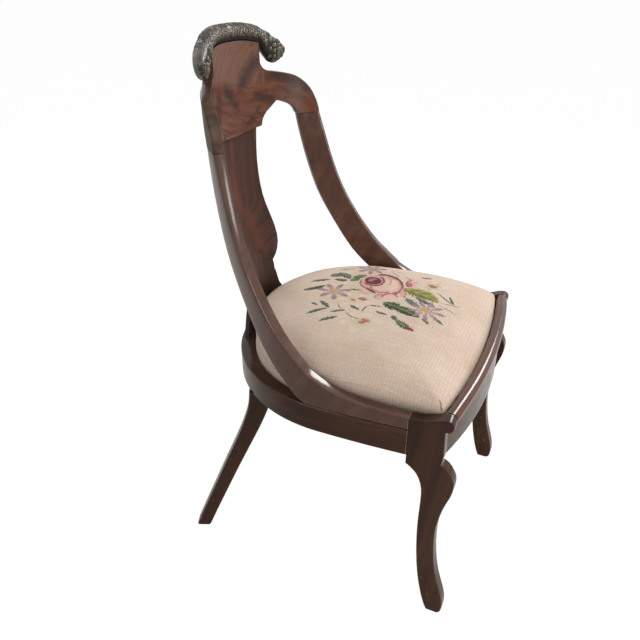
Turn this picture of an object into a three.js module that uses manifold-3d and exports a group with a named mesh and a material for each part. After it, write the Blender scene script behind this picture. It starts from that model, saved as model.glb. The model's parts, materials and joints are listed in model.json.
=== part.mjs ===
// Mahogany side chair: hooped back with a carved roll and a vase splat, swept stiles,
// horseshoe seat frame, swept legs and a drop-in needlepoint seat.
// Millimetres, +Z up, front towards -Y. The floor is at zero.
import * as THREE from 'three';
import { mergeVertices } from 'three/addons/utils/BufferGeometryUtils.js';
import Module from 'manifold-3d';

const wasm = await Module();
wasm.setup();

// Driving sizes: the hoop that the seat frame and the back follow
const HOOP_RADIUS = 232;
const BOARD = 24;
const SIDE_LENGTH = 147.7;
const SIDE_DRAW = 5.5;
const JOINT_GAP = 0.3;

// Driving sizes: seat frame
const RAIL_BOTTOM = 328;
const RAIL_HEIGHT = 47;
const RAIL_TOP = RAIL_BOTTOM + RAIL_HEIGHT;
const FRONT_RAIL_BOARD = 20;
const FRONT_BOW = 30;
const FRONT_RAIL_FORWARD = 25.5;
const NOSE_RADIUS = 10.8;
const NOSE_RISE_HEIGHT = 25;
const ROLL_BOW = 17;

// Driving sizes: back
const STILE_HEIGHT = 360;
const CREST_HEIGHT = 139;
const LEAN = 46;
const LEAN_HEEL = 65;
const STILE_BOARD = 21.5;
const BACK_INSET = 4.5;
const STILE_ARRIS_RADIUS = 4.5;
const CREST_ARRIS_RADIUS = 3;
const CAP_RISE_HEIGHT = 22.5;
const CREST_ROLL_LIFT = 4;
const CREST_ROLL_RADIUS = 15.5;
const CREST_ROLL_DEPTH = 13;
const CREST_ROLL_INSET = 13;
const CREST_ROLL_DROOP = 8;
const KNOB_RADIUS = 24;
const KNOB_DEPTH = 13.5;
const KNOB_INSET = 10;
const KNOB_DROOP = 26;
const SPLAT_THICKNESS = 9.5;
const SPLAT_INSET = 5.5;
const SPLAT_HALF_WIDTH = 72;
const SPLAT_ARRIS_RADIUS = 2;

// Driving sizes: legs
const LEG_BOARD = 21.5;
const LEG_DEPTH = 88;
const LEG_ARRIS_RADIUS = 2.2;
const REAR_LEG_SPLAY = 128;
const REAR_LEG_INSET = 20;
const REAR_LEG_DEPTH = 40;
const REAR_LEG_WIDTH = 34;
const REAR_LEG_ARRIS_RADIUS = 6;

// Driving sizes: drop-in seat and what carries it
const SEAT_CLEARANCE = 3.5;
const SEAT_FRONT_CLEARANCE = 3;
const SEAT_BAR_WIDTH = 45;
const SEAT_BAR_THICKNESS = 20;
const SEAT_SINK = 2.7;
const WEB_WIDTH = 50;
const WEB_THICKNESS = 1.5;
const WEB_PITCH = 78;
const HESSIAN_THICKNESS = 1;
const CUSHION_EDGE_HEIGHT = 48;
const CUSHION_FRONT_FALL = 22;
const CUSHION_CROWN = 25;
const CUSHION_SPREAD = 4.5;
const ROLL_CLEARANCE = 1.2;
const REST_DEPTH = 14;
const REST_HEIGHT = 18;
const BLOCK_DEPTH = 36;
const BLOCK_HEIGHT = 22;
const SCREW_LENGTH = 40;
const SCREW_RADIUS = 2.1;
const SCREW_HEAD_RADIUS = 4.2;
const SCREW_SINK = 1.2;

// Worked out from the sizes above
const HALF_TURN = Math.PI;
const QUARTER = HALF_TURN / 2;
const noseShare = 0.6455;
const NOSE_REACH = SIDE_LENGTH + LEG_DEPTH * noseShare;
const NOSE_CENTRE_HEIGHT = RAIL_TOP + NOSE_RISE_HEIGHT;
const FRONT_RAIL_REACH = NOSE_REACH + FRONT_RAIL_FORWARD;
const CAP_HEIGHT = RAIL_TOP + CAP_RISE_HEIGHT;
const CREST_JOINT = RAIL_TOP + STILE_HEIGHT;
const ROLL_CENTRE_HEIGHT = CREST_JOINT + CREST_HEIGHT + CREST_ROLL_LIFT;
const BACK_TOP = ROLL_CENTRE_HEIGHT + CREST_ROLL_RADIUS;
const FRONT_HALF_WIDTH = HOOP_RADIUS - SIDE_DRAW;
const LEG_INNER = FRONT_HALF_WIDTH - LEG_BOARD;
const SEAT_FRAME_TOP = RAIL_TOP - SEAT_SINK;
const SEAT_FRAME_BOTTOM = SEAT_FRAME_TOP - SEAT_BAR_THICKNESS;
const REST_TOP = SEAT_FRAME_BOTTOM - JOINT_GAP;

const mahogany = { color: 0x4e2f22, roughness: 0.28, metalness: 0 };
const veneer = { color: 0x6a3a2b, roughness: 0.25, metalness: 0 };
const carved = { color: 0x3e3029, roughness: 0.45, metalness: 0 };
const beech = { color: 0xb08a5e, roughness: 0.7, metalness: 0 };
const steel = { color: 0x77736c, roughness: 0.4, metalness: 0.9 };
const jute = { color: 0xa98b5f, roughness: 0.95, metalness: 0 };
const needlepoint = { color: 0xd8c1aa, roughness: 0.92, metalness: 0 };

// A smooth line through points [place, value], read at any place
function smoothLine(points) {
  const n = points.length;
  const slope = points.map((p, i) => {
    const a = points[Math.max(i - 1, 0)];
    const b = points[Math.min(i + 1, n - 1)];
    return (b[1] - a[1]) / (b[0] - a[0]);
  });
  return (x) => {
    if (x <= points[0][0]) return points[0][1];
    if (x >= points[n - 1][0]) return points[n - 1][1];
    let i = 0;
    while (x > points[i + 1][0]) i += 1;
    const w = points[i + 1][0] - points[i][0];
    const t = (x - points[i][0]) / w;
    const t2 = t * t;
    const t3 = t2 * t;
    return points[i][1] * (2 * t3 - 3 * t2 + 1) + slope[i] * w * (t3 - 2 * t2 + t)
      + points[i + 1][1] * (3 * t2 - 2 * t3) + slope[i + 1] * w * (t3 - t2);
  };
}

// A line with corners through the same kind of points
function cornerLine(points) {
  const n = points.length;
  return (x) => {
    if (x <= points[0][0]) return points[0][1];
    if (x >= points[n - 1][0]) return points[n - 1][1];
    let i = 0;
    while (x > points[i + 1][0]) i += 1;
    const t = (x - points[i][0]) / (points[i + 1][0] - points[i][0]);
    return points[i][1] + t * (points[i + 1][1] - points[i][1]);
  };
}

// How far the hoop has moved back at a height, as the back leans
const leanShares = [[0, 0], [0.06, 0.07], [0.13, 0.2], [0.31, 0.565], [0.49, 0.8], [0.66, 0.925],
  [0.84, 0.985], [1, 1]];
const leanShare = smoothLine(leanShares);
const HEEL = RAIL_TOP + LEAN_HEEL;
const lean = (z) => LEAN * leanShare((z - HEEL) / (BACK_TOP - HEEL));

// The back gets thinner upward: how far its outer face has drawn in at a height
const backInset = (z) => BACK_INSET * Math.min(1, Math.max(0, (z - HEEL) / (CREST_JOINT - HEEL)));

// A point of the hoop: station 0 is the middle of the back, 1 the widest place, 2 the front
// end of the straight side. Side -1 is the left, +1 the right. Depth is measured inward.
function hoop(station, depth, z, side) {
  const r = HOOP_RADIUS - depth;
  if (station <= 1) {
    const a = station * QUARTER;
    return new THREE.Vector3(side * r * Math.sin(a), lean(z) + r * Math.cos(a), z);
  }
  const f = station - 1;
  const drawn = Math.min(1, f) ** 2;
  return new THREE.Vector3(side * (r - SIDE_DRAW * drawn), lean(z) - SIDE_LENGTH * f, z);
}
const degrees = (a) => a / 90;

// A softened edge is cut at its two ends and touches the corner line at this share
const arrisShare = 0.3;

// A closed body from rings of points, all with the same number of points. Its two ends are
// closed by fans, or by strips between facing points where the end is long and bent.
function bodyFromRings(rings, strips) {
  const n = rings[0].length;
  const m = rings.length;
  const position = [];
  rings.forEach((ring) => ring.forEach((p) => position.push(p.x, p.y, p.z)));
  const index = [];
  for (let i = 0; i < m - 1; i += 1) {
    const k = i + 1;
    for (let j = 0; j < n; j += 1) {
      const a = i * n + j;
      const b = i * n + ((j + 1) % n);
      const c = k * n + ((j + 1) % n);
      const d = k * n + j;
      index.push(a, b, c, a, c, d);
    }
  }
  const turned = (i, list) => index.push(...(i === 0 ? list.reverse() : list));
  if (strips) {
    [0, m - 1].forEach((i) => {
      for (let j = 0; j < n / 2 - 1; j += 1) {
        const a = i * n + j;
        const b = i * n + n - 1 - j;
        turned(i, [a, a + 1, b]);
        turned(i, [a + 1, b - 1, b]);
      }
    });
  } else {
    [0, m - 1].forEach((i) => {
      const middle = new THREE.Vector3();
      rings[i].forEach((p) => middle.add(p));
      middle.divideScalar(n);
      const centre = position.length / 3;
      position.push(middle.x, middle.y, middle.z);
      for (let j = 0; j < n; j += 1) {
        const a = i * n + j;
        const b = i * n + ((j + 1) % n);
        turned(i, [centre, a, b]);
      }
    });
  }
  const geometry = new THREE.BufferGeometry();
  geometry.setAttribute('position', new THREE.Float32BufferAttribute(position, 3));
  geometry.setIndex(index);
  return faceOut(geometry);
}

// Turn the triangles over if the volume comes out negative
function faceOut(geometry) {
  const p = geometry.attributes.position;
  const index = geometry.index.array;
  const a = new THREE.Vector3();
  const b = new THREE.Vector3();
  const c = new THREE.Vector3();
  let volume = 0;
  for (let i = 0; i < index.length; i += 3) {
    a.fromBufferAttribute(p, index[i]);
    b.fromBufferAttribute(p, index[i + 1]);
    c.fromBufferAttribute(p, index[i + 2]);
    volume += a.dot(b.cross(c));
  }
  if (volume < 0) {
    for (let i = 0; i < index.length; i += 3) {
      const keep = index[i + 1];
      index[i + 1] = index[i + 2];
      index[i + 2] = keep;
    }
  }
  geometry.computeVertexNormals();
  return geometry;
}

// Exact cuts between closed bodies
function solidOf(geometry) {
  const plain = geometry.clone();
  plain.deleteAttribute('normal');
  if (plain.attributes.uv) plain.deleteAttribute('uv');
  const merged = mergeVertices(plain);
  return new wasm.Manifold(new wasm.Mesh({
    numProp: 3,
    vertProperties: Float32Array.from(merged.attributes.position.array),
    triVerts: Uint32Array.from(merged.index.array),
  }));
}
function cutBy(geometry, cutters) {
  let solid = solidOf(geometry);
  cutters.forEach((cutter) => {
    solid = solid.subtract(solidOf(cutter));
  });
  const mesh = solid.getMesh();
  const result = new THREE.BufferGeometry();
  result.setAttribute('position', new THREE.BufferAttribute(Float32Array.from(mesh.vertProperties), 3));
  result.setIndex(new THREE.BufferAttribute(Uint32Array.from(mesh.triVerts), 1));
  result.computeVertexNormals();
  return result;
}

const chair = new THREE.Group();
function add(name, geometry, look) {
  const mesh = new THREE.Mesh(geometry, new THREE.MeshStandardMaterial(look));
  mesh.name = name;
  chair.add(mesh);
  return mesh;
}

// A flat outline with a thickness along Z
function slab(points, bottom, top) {
  const shape = new THREE.Shape(points.map((p) => new THREE.Vector2(p.x, p.y)));
  const geometry = new THREE.ExtrudeGeometry(shape, { depth: top - bottom, bevelEnabled: false });
  geometry.translate(0, 0, bottom);
  return geometry;
}

const sides = [['left', -1], ['right', 1]];

// Seat rails: a bar with softened edges that follows the hoop
const railArrisShare = 0.08;
function railRing(station, side) {
  const e = BOARD * railArrisShare;
  return [[0, RAIL_BOTTOM + e], [e, RAIL_BOTTOM], [BOARD - e, RAIL_BOTTOM], [BOARD, RAIL_BOTTOM + e],
    [BOARD, RAIL_TOP - e], [BOARD - e, RAIL_TOP], [e, RAIL_TOP], [0, RAIL_TOP - e]]
    .map(([d, z]) => hoop(station, d, z, side));
}
const REAR_JOINT = degrees(40);
const railGapShare = JOINT_GAP / (HOOP_RADIUS * QUARTER);
function sideRail(side) {
  const rings = [];
  const bends = 14;
  for (let i = 0; i <= bends; i += 1) {
    rings.push(railRing(REAR_JOINT + railGapShare + (1 - REAR_JOINT - railGapShare) * (i / bends), side));
  }
  const straights = 5;
  for (let i = 1; i <= straights; i += 1) rings.push(railRing(1 + i / straights, side));
  return bodyFromRings(rings);
}
function rearRail() {
  const rings = [];
  const bends = 24;
  for (let i = -bends; i <= bends; i += 2) {
    rings.push(railRing(REAR_JOINT * Math.abs(i) / bends, i < 0 ? -1 : 1));
  }
  return bodyFromRings(rings);
}

// Screws: one turned profile, and the same profile with room round it for its hole
function screwProfile(room, sink) {
  const head = SCREW_HEAD_RADIUS + room;
  const shank = SCREW_RADIUS + room;
  const cone = SCREW_HEAD_RADIUS - SCREW_RADIUS;
  return [[0, sink], [head, sink], [head, -room], [shank, -cone - room],
    [shank, -(SCREW_LENGTH - SCREW_HEAD_RADIUS)], [0, -SCREW_LENGTH - room]]
    .map(([x, y]) => new THREE.Vector2(x, y));
}
function screwAt(origin, direction, room, sink) {
  const geometry = new THREE.LatheGeometry(screwProfile(room, sink), 8);
  geometry.applyQuaternion(new THREE.Quaternion()
    .setFromUnitVectors(new THREE.Vector3(0, -1, 0), direction.clone().normalize()));
  geometry.translate(origin.x, origin.y, origin.z);
  const merged = geometry.clone();
  merged.deleteAttribute('normal');
  merged.deleteAttribute('uv');
  return faceOut(mergeVertices(merged));
}

// Bow of the front rail and of the roll above it: how far forward each is at a place x
const frontFace = (x) => -(FRONT_RAIL_REACH - FRONT_BOW * (x / LEG_INNER) ** 2);
const frontInner = (x) => frontFace(x) + FRONT_RAIL_BOARD;
const noseLine = (x) => -(NOSE_REACH + ROLL_BOW * (1 - (x / LEG_INNER) ** 2));

// Corner blocks, glued and screwed inside the frame
const BLOCK_TOP = REST_TOP;
const BLOCK_BOTTOM = BLOCK_TOP - BLOCK_HEIGHT;
const SCREW_HEIGHT = (BLOCK_TOP + BLOCK_BOTTOM) / 2;
const REAR_BLOCK_FROM = REAR_JOINT;
const REAR_BLOCK_TO = degrees(62);
function rearBlock(side) {
  const steps = 6;
  const points = [];
  for (let i = 0; i <= steps; i += 1) {
    const s = REAR_BLOCK_FROM + (REAR_BLOCK_TO - REAR_BLOCK_FROM) * (i / steps);
    points.push(hoop(s, BOARD + JOINT_GAP, 0, side));
  }
  points.push(hoop(REAR_BLOCK_TO, BLOCK_DEPTH, 0, side));
  const middle = (REAR_BLOCK_FROM + REAR_BLOCK_TO) / 2;
  points.push(hoop((REAR_BLOCK_TO + middle) / 2, BOARD + BLOCK_DEPTH, 0, side));
  points.push(hoop((REAR_BLOCK_FROM + middle) / 2, BOARD + BLOCK_DEPTH, 0, side));
  points.push(hoop(REAR_BLOCK_FROM, BLOCK_DEPTH, 0, side));
  return slab(points, BLOCK_BOTTOM, BLOCK_TOP);
}
const BLOCK_OUTER = FRONT_HALF_WIDTH - Math.max(BOARD, LEG_BOARD) - JOINT_GAP;
function frontBlock(side) {
  const outer = BLOCK_OUTER;
  const reach = BLOCK_DEPTH + REST_DEPTH;
  const points = [];
  const steps = 4;
  for (let i = 0; i <= steps; i += 1) {
    const x = outer - reach * (i / steps);
    points.push(new THREE.Vector2(side * x, frontInner(x) + JOINT_GAP));
  }
  points.push(new THREE.Vector2(side * (outer - reach), frontInner(outer) + REST_DEPTH));
  points.push(new THREE.Vector2(side * (outer - REST_DEPTH), frontInner(outer) + reach));
  points.push(new THREE.Vector2(side * outer, frontInner(outer) + reach));
  return slab(points, BLOCK_BOTTOM, BLOCK_TOP);
}
function blockScrews(side) {
  const list = [];
  const span = REAR_BLOCK_TO - REAR_BLOCK_FROM;
  const placeShares = [0.36, 0.64];
  placeShares.forEach((share) => {
    const s = REAR_BLOCK_FROM + span * share;
    const inner = hoop(s, BOARD + BLOCK_DEPTH - SCREW_HEAD_RADIUS, SCREW_HEIGHT, side);
    const outer = hoop(s, 0, SCREW_HEIGHT, side);
    list.push({ where: 'rear', at: inner, to: outer.sub(inner) });
  });
  const reach = BLOCK_DEPTH + REST_DEPTH;
  const outer = BLOCK_OUTER;
  const centreShare = 0.42;
  const bite = SCREW_LENGTH - LEG_BOARD / 2;
  const y = frontInner(outer) + reach * centreShare;
  list.push({
    where: 'leg',
    at: new THREE.Vector3(side * (outer - bite), y, SCREW_HEIGHT + SCREW_HEAD_RADIUS),
    to: new THREE.Vector3(side, 0, 0),
  });
  const x = outer - reach * centreShare;
  const frontBite = SCREW_LENGTH - FRONT_RAIL_BOARD / 2;
  list.push({
    where: 'rail',
    at: new THREE.Vector3(side * x, frontInner(x) + frontBite, SCREW_HEIGHT - SCREW_HEAD_RADIUS),
    to: new THREE.Vector3(0, -1, 0),
  });
  return list;
}
const screws = { left: blockScrews(-1), right: blockScrews(1) };
const cuttersFor = (name, where) => screws[name].filter((s) => where.includes(s.where))
  .map((s) => screwAt(s.at, s.to, JOINT_GAP, BLOCK_DEPTH + BLOCK_DEPTH));

sides.forEach(([name, side]) => {
  add(`rail_side_${name}`, cutBy(sideRail(side), cuttersFor(name, ['rear'])), mahogany);
  add(`block_rear_${name}`, cutBy(rearBlock(side), cuttersFor(name, ['rear'])), beech);
  add(`block_front_${name}`, cutBy(frontBlock(side), cuttersFor(name, ['leg', 'rail'])), beech);
  screws[name].forEach((s, i) => {
    const geometry = screwAt(s.at, s.to, 0, SCREW_SINK);
    add(`screw_${s.where}_${name}_${i + 1}`, geometry, steel);
  });
});
add('rail_rear', rearRail(), mahogany);

// Rest strips for the drop-in seat
function restRing(station, side) {
  const near = BOARD + JOINT_GAP;
  const far = near + REST_DEPTH;
  const bottom = REST_TOP - REST_HEIGHT;
  return [[near, bottom], [far, bottom], [far, REST_TOP], [near, REST_TOP]]
    .map(([d, z]) => hoop(station, d, z, side));
}
function restStrip(from, to, steps, sideOf) {
  const rings = [];
  for (let i = 0; i <= steps; i += 1) {
    const s = from + (to - from) * (i / steps);
    rings.push(restRing(Math.abs(s), sideOf(s)));
  }
  return bodyFromRings(rings);
}
const restEnd = 1 + (SIDE_LENGTH - BLOCK_DEPTH) / SIDE_LENGTH;
sides.forEach(([name, side]) => {
  const start = REAR_BLOCK_TO + railGapShare + railGapShare;
  add(`rest_${name}`, restStrip(start, restEnd, 14, () => side), beech);
});
const restRearEnd = REAR_BLOCK_FROM - railGapShare - railGapShare;
add('rest_rear', restStrip(-restRearEnd, restRearEnd, 14, (s) => (s < 0 ? -1 : 1)), beech);
function frontRest() {
  const half = BLOCK_OUTER - BLOCK_DEPTH - REST_DEPTH - JOINT_GAP;
  const steps = 10;
  const rings = [];
  for (let i = 0; i <= steps; i += 1) {
    const x = -half + (half + half) * (i / steps);
    const near = frontInner(x) + JOINT_GAP;
    rings.push([[near, REST_TOP - REST_HEIGHT], [near + REST_DEPTH, REST_TOP - REST_HEIGHT],
      [near + REST_DEPTH, REST_TOP], [near, REST_TOP]].map(([y, z]) => new THREE.Vector3(x, y, z)));
  }
  return bodyFromRings(rings);
}
add('rest_front', frontRest(), beech);

// Front rail, hollowed along its top for the roll, and the roll itself
function frontRail() {
  const half = LEG_INNER - JOINT_GAP;
  const steps = 16;
  const rings = [];
  const cradle = NOSE_RADIUS + JOINT_GAP;
  for (let i = 0; i <= steps; i += 1) {
    const x = -half + (half + half) * (i / steps);
    const face = frontFace(x);
    const inner = frontInner(x);
    const c = noseLine(x);
    const low = NOSE_CENTRE_HEIGHT - cradle;
    const ring = [[inner, low], [inner, RAIL_BOTTOM], [face, RAIL_BOTTOM]];
    const from = Math.asin(Math.max(-1, Math.min(0, (face - c) / cradle)));
    const arcs = 5;
    for (let k = 0; k <= arcs; k += 1) {
      const a = from * (1 - k / arcs);
      ring.push([Math.max(face, c + cradle * Math.sin(a)), NOSE_CENTRE_HEIGHT - cradle * Math.cos(a)]);
    }
    rings.push(ring.map(([y, z]) => new THREE.Vector3(x, y, z)));
  }
  return bodyFromRings(rings);
}
const frontCutters = cuttersFor('left', ['rail']).concat(cuttersFor('right', ['rail']));
add('rail_front', cutBy(frontRail(), frontCutters), mahogany);

function frontRoll() {
  const half = LEG_INNER - JOINT_GAP;
  const steps = 18;
  const round = 18;
  const rings = [];
  for (let i = 0; i <= steps; i += 1) {
    const x = -half + (half + half) * (i / steps);
    const ring = [];
    for (let k = 0; k < round; k += 1) {
      const a = (k / round) * 2 * HALF_TURN;
      ring.push(new THREE.Vector3(x, noseLine(x) + NOSE_RADIUS * Math.sin(a),
        NOSE_CENTRE_HEIGHT + NOSE_RADIUS * Math.cos(a)));
    }
    rings.push(ring);
  }
  return bodyFromRings(rings);
}
add('front_roll', frontRoll(), mahogany);

// Front legs: one board outline of nose, knee and foot, as shares of the leg's depth
// (from the joint with the side rail forward) and of its height
const legRearShares = [[0, 0.786], [0.061, 0.779], [0.137, 0.765], [0.21, 0.748], [0.274, 0.719],
  [0.318, 0.683], [0.332, 0.64], [0.329, 0.585], [0.324, 0.525], [0.327, 0.456], [0.34, 0.386],
  [0.363, 0.314], [0.397, 0.243], [0.447, 0.171], [0.507, 0.108], [0.57, 0.055], [0.63, 0.018]];
const legToeShares = [[0.67, 0], [0.885, 0]];
const legFrontShares = [[0.94, 0.01], [0.968, 0.034], [0.963, 0.068], [0.926, 0.111], [0.856, 0.16],
  [0.778, 0.22], [0.717, 0.289], [0.676, 0.367], [0.662, 0.438], [0.669, 0.504], [0.711, 0.568],
  [0.766, 0.623], [0.837, 0.674], [0.871, 0.709], [0.876, 0.741], [0.857, 0.761], [0.813, 0.781],
  [0.751, 0.801], [0.679, 0.815], [0.605, 0.822]];
const legNeckShares = [[0.634, 0.843], [0.646, 0.874], [0.637, 0.917], [0.631, 0.95]];
const legCapShares = [[0.52, 1.029], [0.37, 1.0145], [0.216, 1.004], [0.11, 1.0005]];
function legOutline() {
  const back = -(SIDE_LENGTH + JOINT_GAP);
  const place = ([d, h]) => new THREE.Vector2(back - LEG_DEPTH * d, CAP_HEIGHT * h);
  const rear = new THREE.SplineCurve(legRearShares.map(place)).getPoints(22);
  const front = new THREE.SplineCurve(legFrontShares.map(place)).getPoints(32);
  const points = [new THREE.Vector2(back, CAP_HEIGHT), ...rear, ...legToeShares.map(place), ...front,
    ...legNeckShares.map(place)];
  const start = 1.53 * HALF_TURN;
  const end = 0.44 * HALF_TURN;
  const arcs = 11;
  for (let i = 0; i <= arcs; i += 1) {
    const a = start - ((start - end) * i) / arcs;
    points.push(new THREE.Vector2(-NOSE_REACH + NOSE_RADIUS * Math.cos(a),
      NOSE_CENTRE_HEIGHT + NOSE_RADIUS * Math.sin(a)));
  }
  points.push(...legCapShares.map(place));
  return points;
}
function frontLeg(side) {
  const shape = new THREE.Shape(legOutline());
  const geometry = new THREE.ExtrudeGeometry(shape, {
    depth: LEG_BOARD - 2 * LEG_ARRIS_RADIUS,
    bevelEnabled: true,
    bevelThickness: LEG_ARRIS_RADIUS,
    bevelSize: LEG_ARRIS_RADIUS,
    bevelOffset: -LEG_ARRIS_RADIUS,
    bevelSegments: 2,
  });
  // the outline's first axis becomes Y, its second Z and the thickness X
  geometry.applyMatrix4(new THREE.Matrix4().makeBasis(new THREE.Vector3(0, 1, 0),
    new THREE.Vector3(0, 0, 1), new THREE.Vector3(1, 0, 0)));
  geometry.translate(side < 0 ? -FRONT_HALF_WIDTH + LEG_ARRIS_RADIUS : LEG_INNER + LEG_ARRIS_RADIUS, 0, 0);
  return geometry;
}
sides.forEach(([name, side]) => {
  add(`leg_front_${name}`, cutBy(frontLeg(side), cuttersFor(name, ['leg'])), mahogany);
});

// Rear legs: a bent, tapered bar that splays back and a little outward
const rearBendShares = [[0, 0], [0.1, 0.04], [0.24, 0.165], [0.39, 0.33], [0.54, 0.5], [0.7, 0.675],
  [0.85, 0.84], [1, 1]];
const rearTaperShares = [[0, 1], [0.1, 0.93], [0.3, 0.8], [0.6, 0.72], [1, 0.66]];
const rearBend = smoothLine(rearBendShares);
const rearTaper = smoothLine(rearTaperShares);
const REAR_LEG_STATION = degrees(50);
const REAR_LEG_TURN = 22.7 / 180 * Math.PI;
function rearLeg(side) {
  const top = RAIL_BOTTOM - JOINT_GAP;
  const start = hoop(REAR_LEG_STATION, REAR_LEG_INSET, 0, side);
  const along = new THREE.Vector3(side * Math.sin(REAR_LEG_TURN), Math.cos(REAR_LEG_TURN), 0);
  const across = new THREE.Vector3(Math.cos(REAR_LEG_TURN), -side * Math.sin(REAR_LEG_TURN), 0);
  const steps = 16;
  const rings = [];
  for (let i = 0; i <= steps; i += 1) {
    const t = i / steps;
    const h = (REAR_LEG_DEPTH * rearTaper(t)) / 2;
    const w = (REAR_LEG_WIDTH * (1 + rearTaper(t))) / 4;
    const e = REAR_LEG_ARRIS_RADIUS * rearTaper(t);
    const soft = e * arrisShare;
    const centre = start.clone().addScaledVector(along, REAR_LEG_SPLAY * rearBend(t));
    rings.push([[h, w - e], [h - soft, w - soft], [h - e, w], [e - h, w], [soft - h, w - soft], [-h, w - e],
      [-h, e - w], [soft - h, soft - w], [e - h, -w], [h - e, -w], [h - soft, soft - w], [h, e - w]]
      .map(([a, b]) => centre.clone().addScaledVector(along, a).addScaledVector(across, b)
        .setZ(top * (1 - t))));
  }
  return bodyFromRings(rings);
}
sides.forEach(([name, side]) => add(`leg_rear_${name}`, rearLeg(side), mahogany));

// Stiles: rows of pairs, [station, height share] of the rear edge and of the front edge.
// The rear edge runs from the rail top to the crest, the front edge from the leg's top.
const stileRearShares = [[degrees(40.2), 1], [degrees(42), 0.883], [degrees(44.6), 0.736],
  [degrees(47.6), 0.591], [degrees(51.3), 0.47], [degrees(55.8), 0.347], [degrees(60.6), 0.245],
  [degrees(66.5), 0.166], [degrees(73), 0.1], [degrees(79), 0.042], [degrees(84.5), 0],
  [1.07, 0], [1.4, 0], [2, 0]];
const stileFrontShares = [[degrees(52.1), 1], [degrees(54.8), 0.876], [degrees(57.6), 0.733],
  [degrees(61), 0.591], [degrees(65), 0.461], [degrees(69.6), 0.342], [degrees(74.6), 0.244],
  [degrees(79.6), 0.179], [degrees(84.2), 0.126], [degrees(89.3), 0.0815], [1.149, 0.0474],
  [1.338, 0.0252], [1.54, 0.0148], [2, 0]];
const thirdShares = [1 / 3, 2 / 3];
function rowReader(rows, column) {
  return smoothLine(rows.map((row, i) => [i, row[column]]));
}
function stile(side) {
  const low = RAIL_TOP + JOINT_GAP;
  const high = CREST_JOINT;
  const rearStation = rowReader(stileRearShares, 0);
  const rearHeight = rowReader(stileRearShares, 1);
  const frontStation = rowReader(stileFrontShares, 0);
  const frontHeight = rowReader(stileFrontShares, 1);
  const rows = stileRearShares.length - 1;
  const perRow = 2;
  const rings = [];
  for (let i = 0; i <= rows * perRow; i += 1) {
    const t = i / perRow;
    const a = [rearStation(t), low + (high - low) * Math.max(0, rearHeight(t))];
    const b = [frontStation(t), CAP_HEIGHT + (high - CAP_HEIGHT) * frontHeight(t)];
    // a point across the board, a little under its outer or its inner face
    const at = (u, outer, under) => {
      const z = a[1] + (b[1] - a[1]) * u;
      const depth = outer ? backInset(z) + under : STILE_BOARD - under;
      return hoop(a[0] + (b[0] - a[0]) * u, depth, z, side);
    };
    const wide = at(0, true, 0).distanceTo(at(1, true, 0));
    const u = Math.min(0.45, STILE_ARRIS_RADIUS / wide);
    const e = STILE_ARRIS_RADIUS;
    const around = [[0, e], [u * arrisShare, e * arrisShare], [u, 0], [thirdShares[0], 0],
      [thirdShares[1], 0], [1 - u, 0], [1 - u * arrisShare, e * arrisShare], [1, e]];
    const ring = around.map(([across, under]) => at(across, true, under));
    ring.push(...around.reverse().map(([across, under]) => at(across, false, under)));
    rings.push(ring);
  }
  return bodyFromRings(rings, true);
}
sides.forEach(([name, side]) => add(`stile_${name}`, stile(side), mahogany));

// Crest rail: columns across the hoop, heights as shares of the crest's height
const crestBottomShares = [[0, -0.137], [10, -0.118], [18.9, -0.092], [19.3, -0.05], [20, -0.01],
  [21.1, 0.028], [22.6, 0.066], [24.6, 0.1], [27, 0.147], [29.1, 0.19], [30.5, 0.184], [32.5, 0.166],
  [34.8, 0.144], [36.8, 0.118], [38.2, 0.088], [39.3, 0.045], [40.2, 0], [52.1, 0]];
const crestShoulderShares = [[20.35, 0.69], [20.9, 0.65], [21.7, 0.618], [22.6, 0.597], [23.7, 0.578],
  [25, 0.564], [27, 0.553], [29, 0.545], [32, 0.53], [36.3, 0.506], [40.2, 0.476], [43.2, 0.43],
  [45.6, 0.38], [47.8, 0.315], [49.3, 0.249], [50.5, 0.178], [51.4, 0.1], [52.1, 0.02]];
const crestBottom = cornerLine(crestBottomShares);
const crestShoulder = smoothLine(crestShoulderShares);
const neckAngle = 20.3;
const cradleLipShare = 0.3;
const rollEndAngle = 21;
const knobEndAngle = 35.6;
const kneeShare = 0.78;
const crestFootAngle = 40.1;
const crestEndAngle = 52.1;
const stileEdge = cornerLine([[0, STILE_ARRIS_RADIUS],
  [STILE_ARRIS_RADIUS * arrisShare, STILE_ARRIS_RADIUS * arrisShare], [STILE_ARRIS_RADIUS, 0]]);
const rollCentre = (a) => {
  const droop = CREST_ROLL_DROOP * (Math.min(a, rollEndAngle) / rollEndAngle) ** 3;
  const past = Math.max(0, a - rollEndAngle) / (knobEndAngle - rollEndAngle);
  return ROLL_CENTRE_HEIGHT - droop - KNOB_DROOP * Math.sin(Math.min(1, past / kneeShare) * QUARTER);
};
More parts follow.
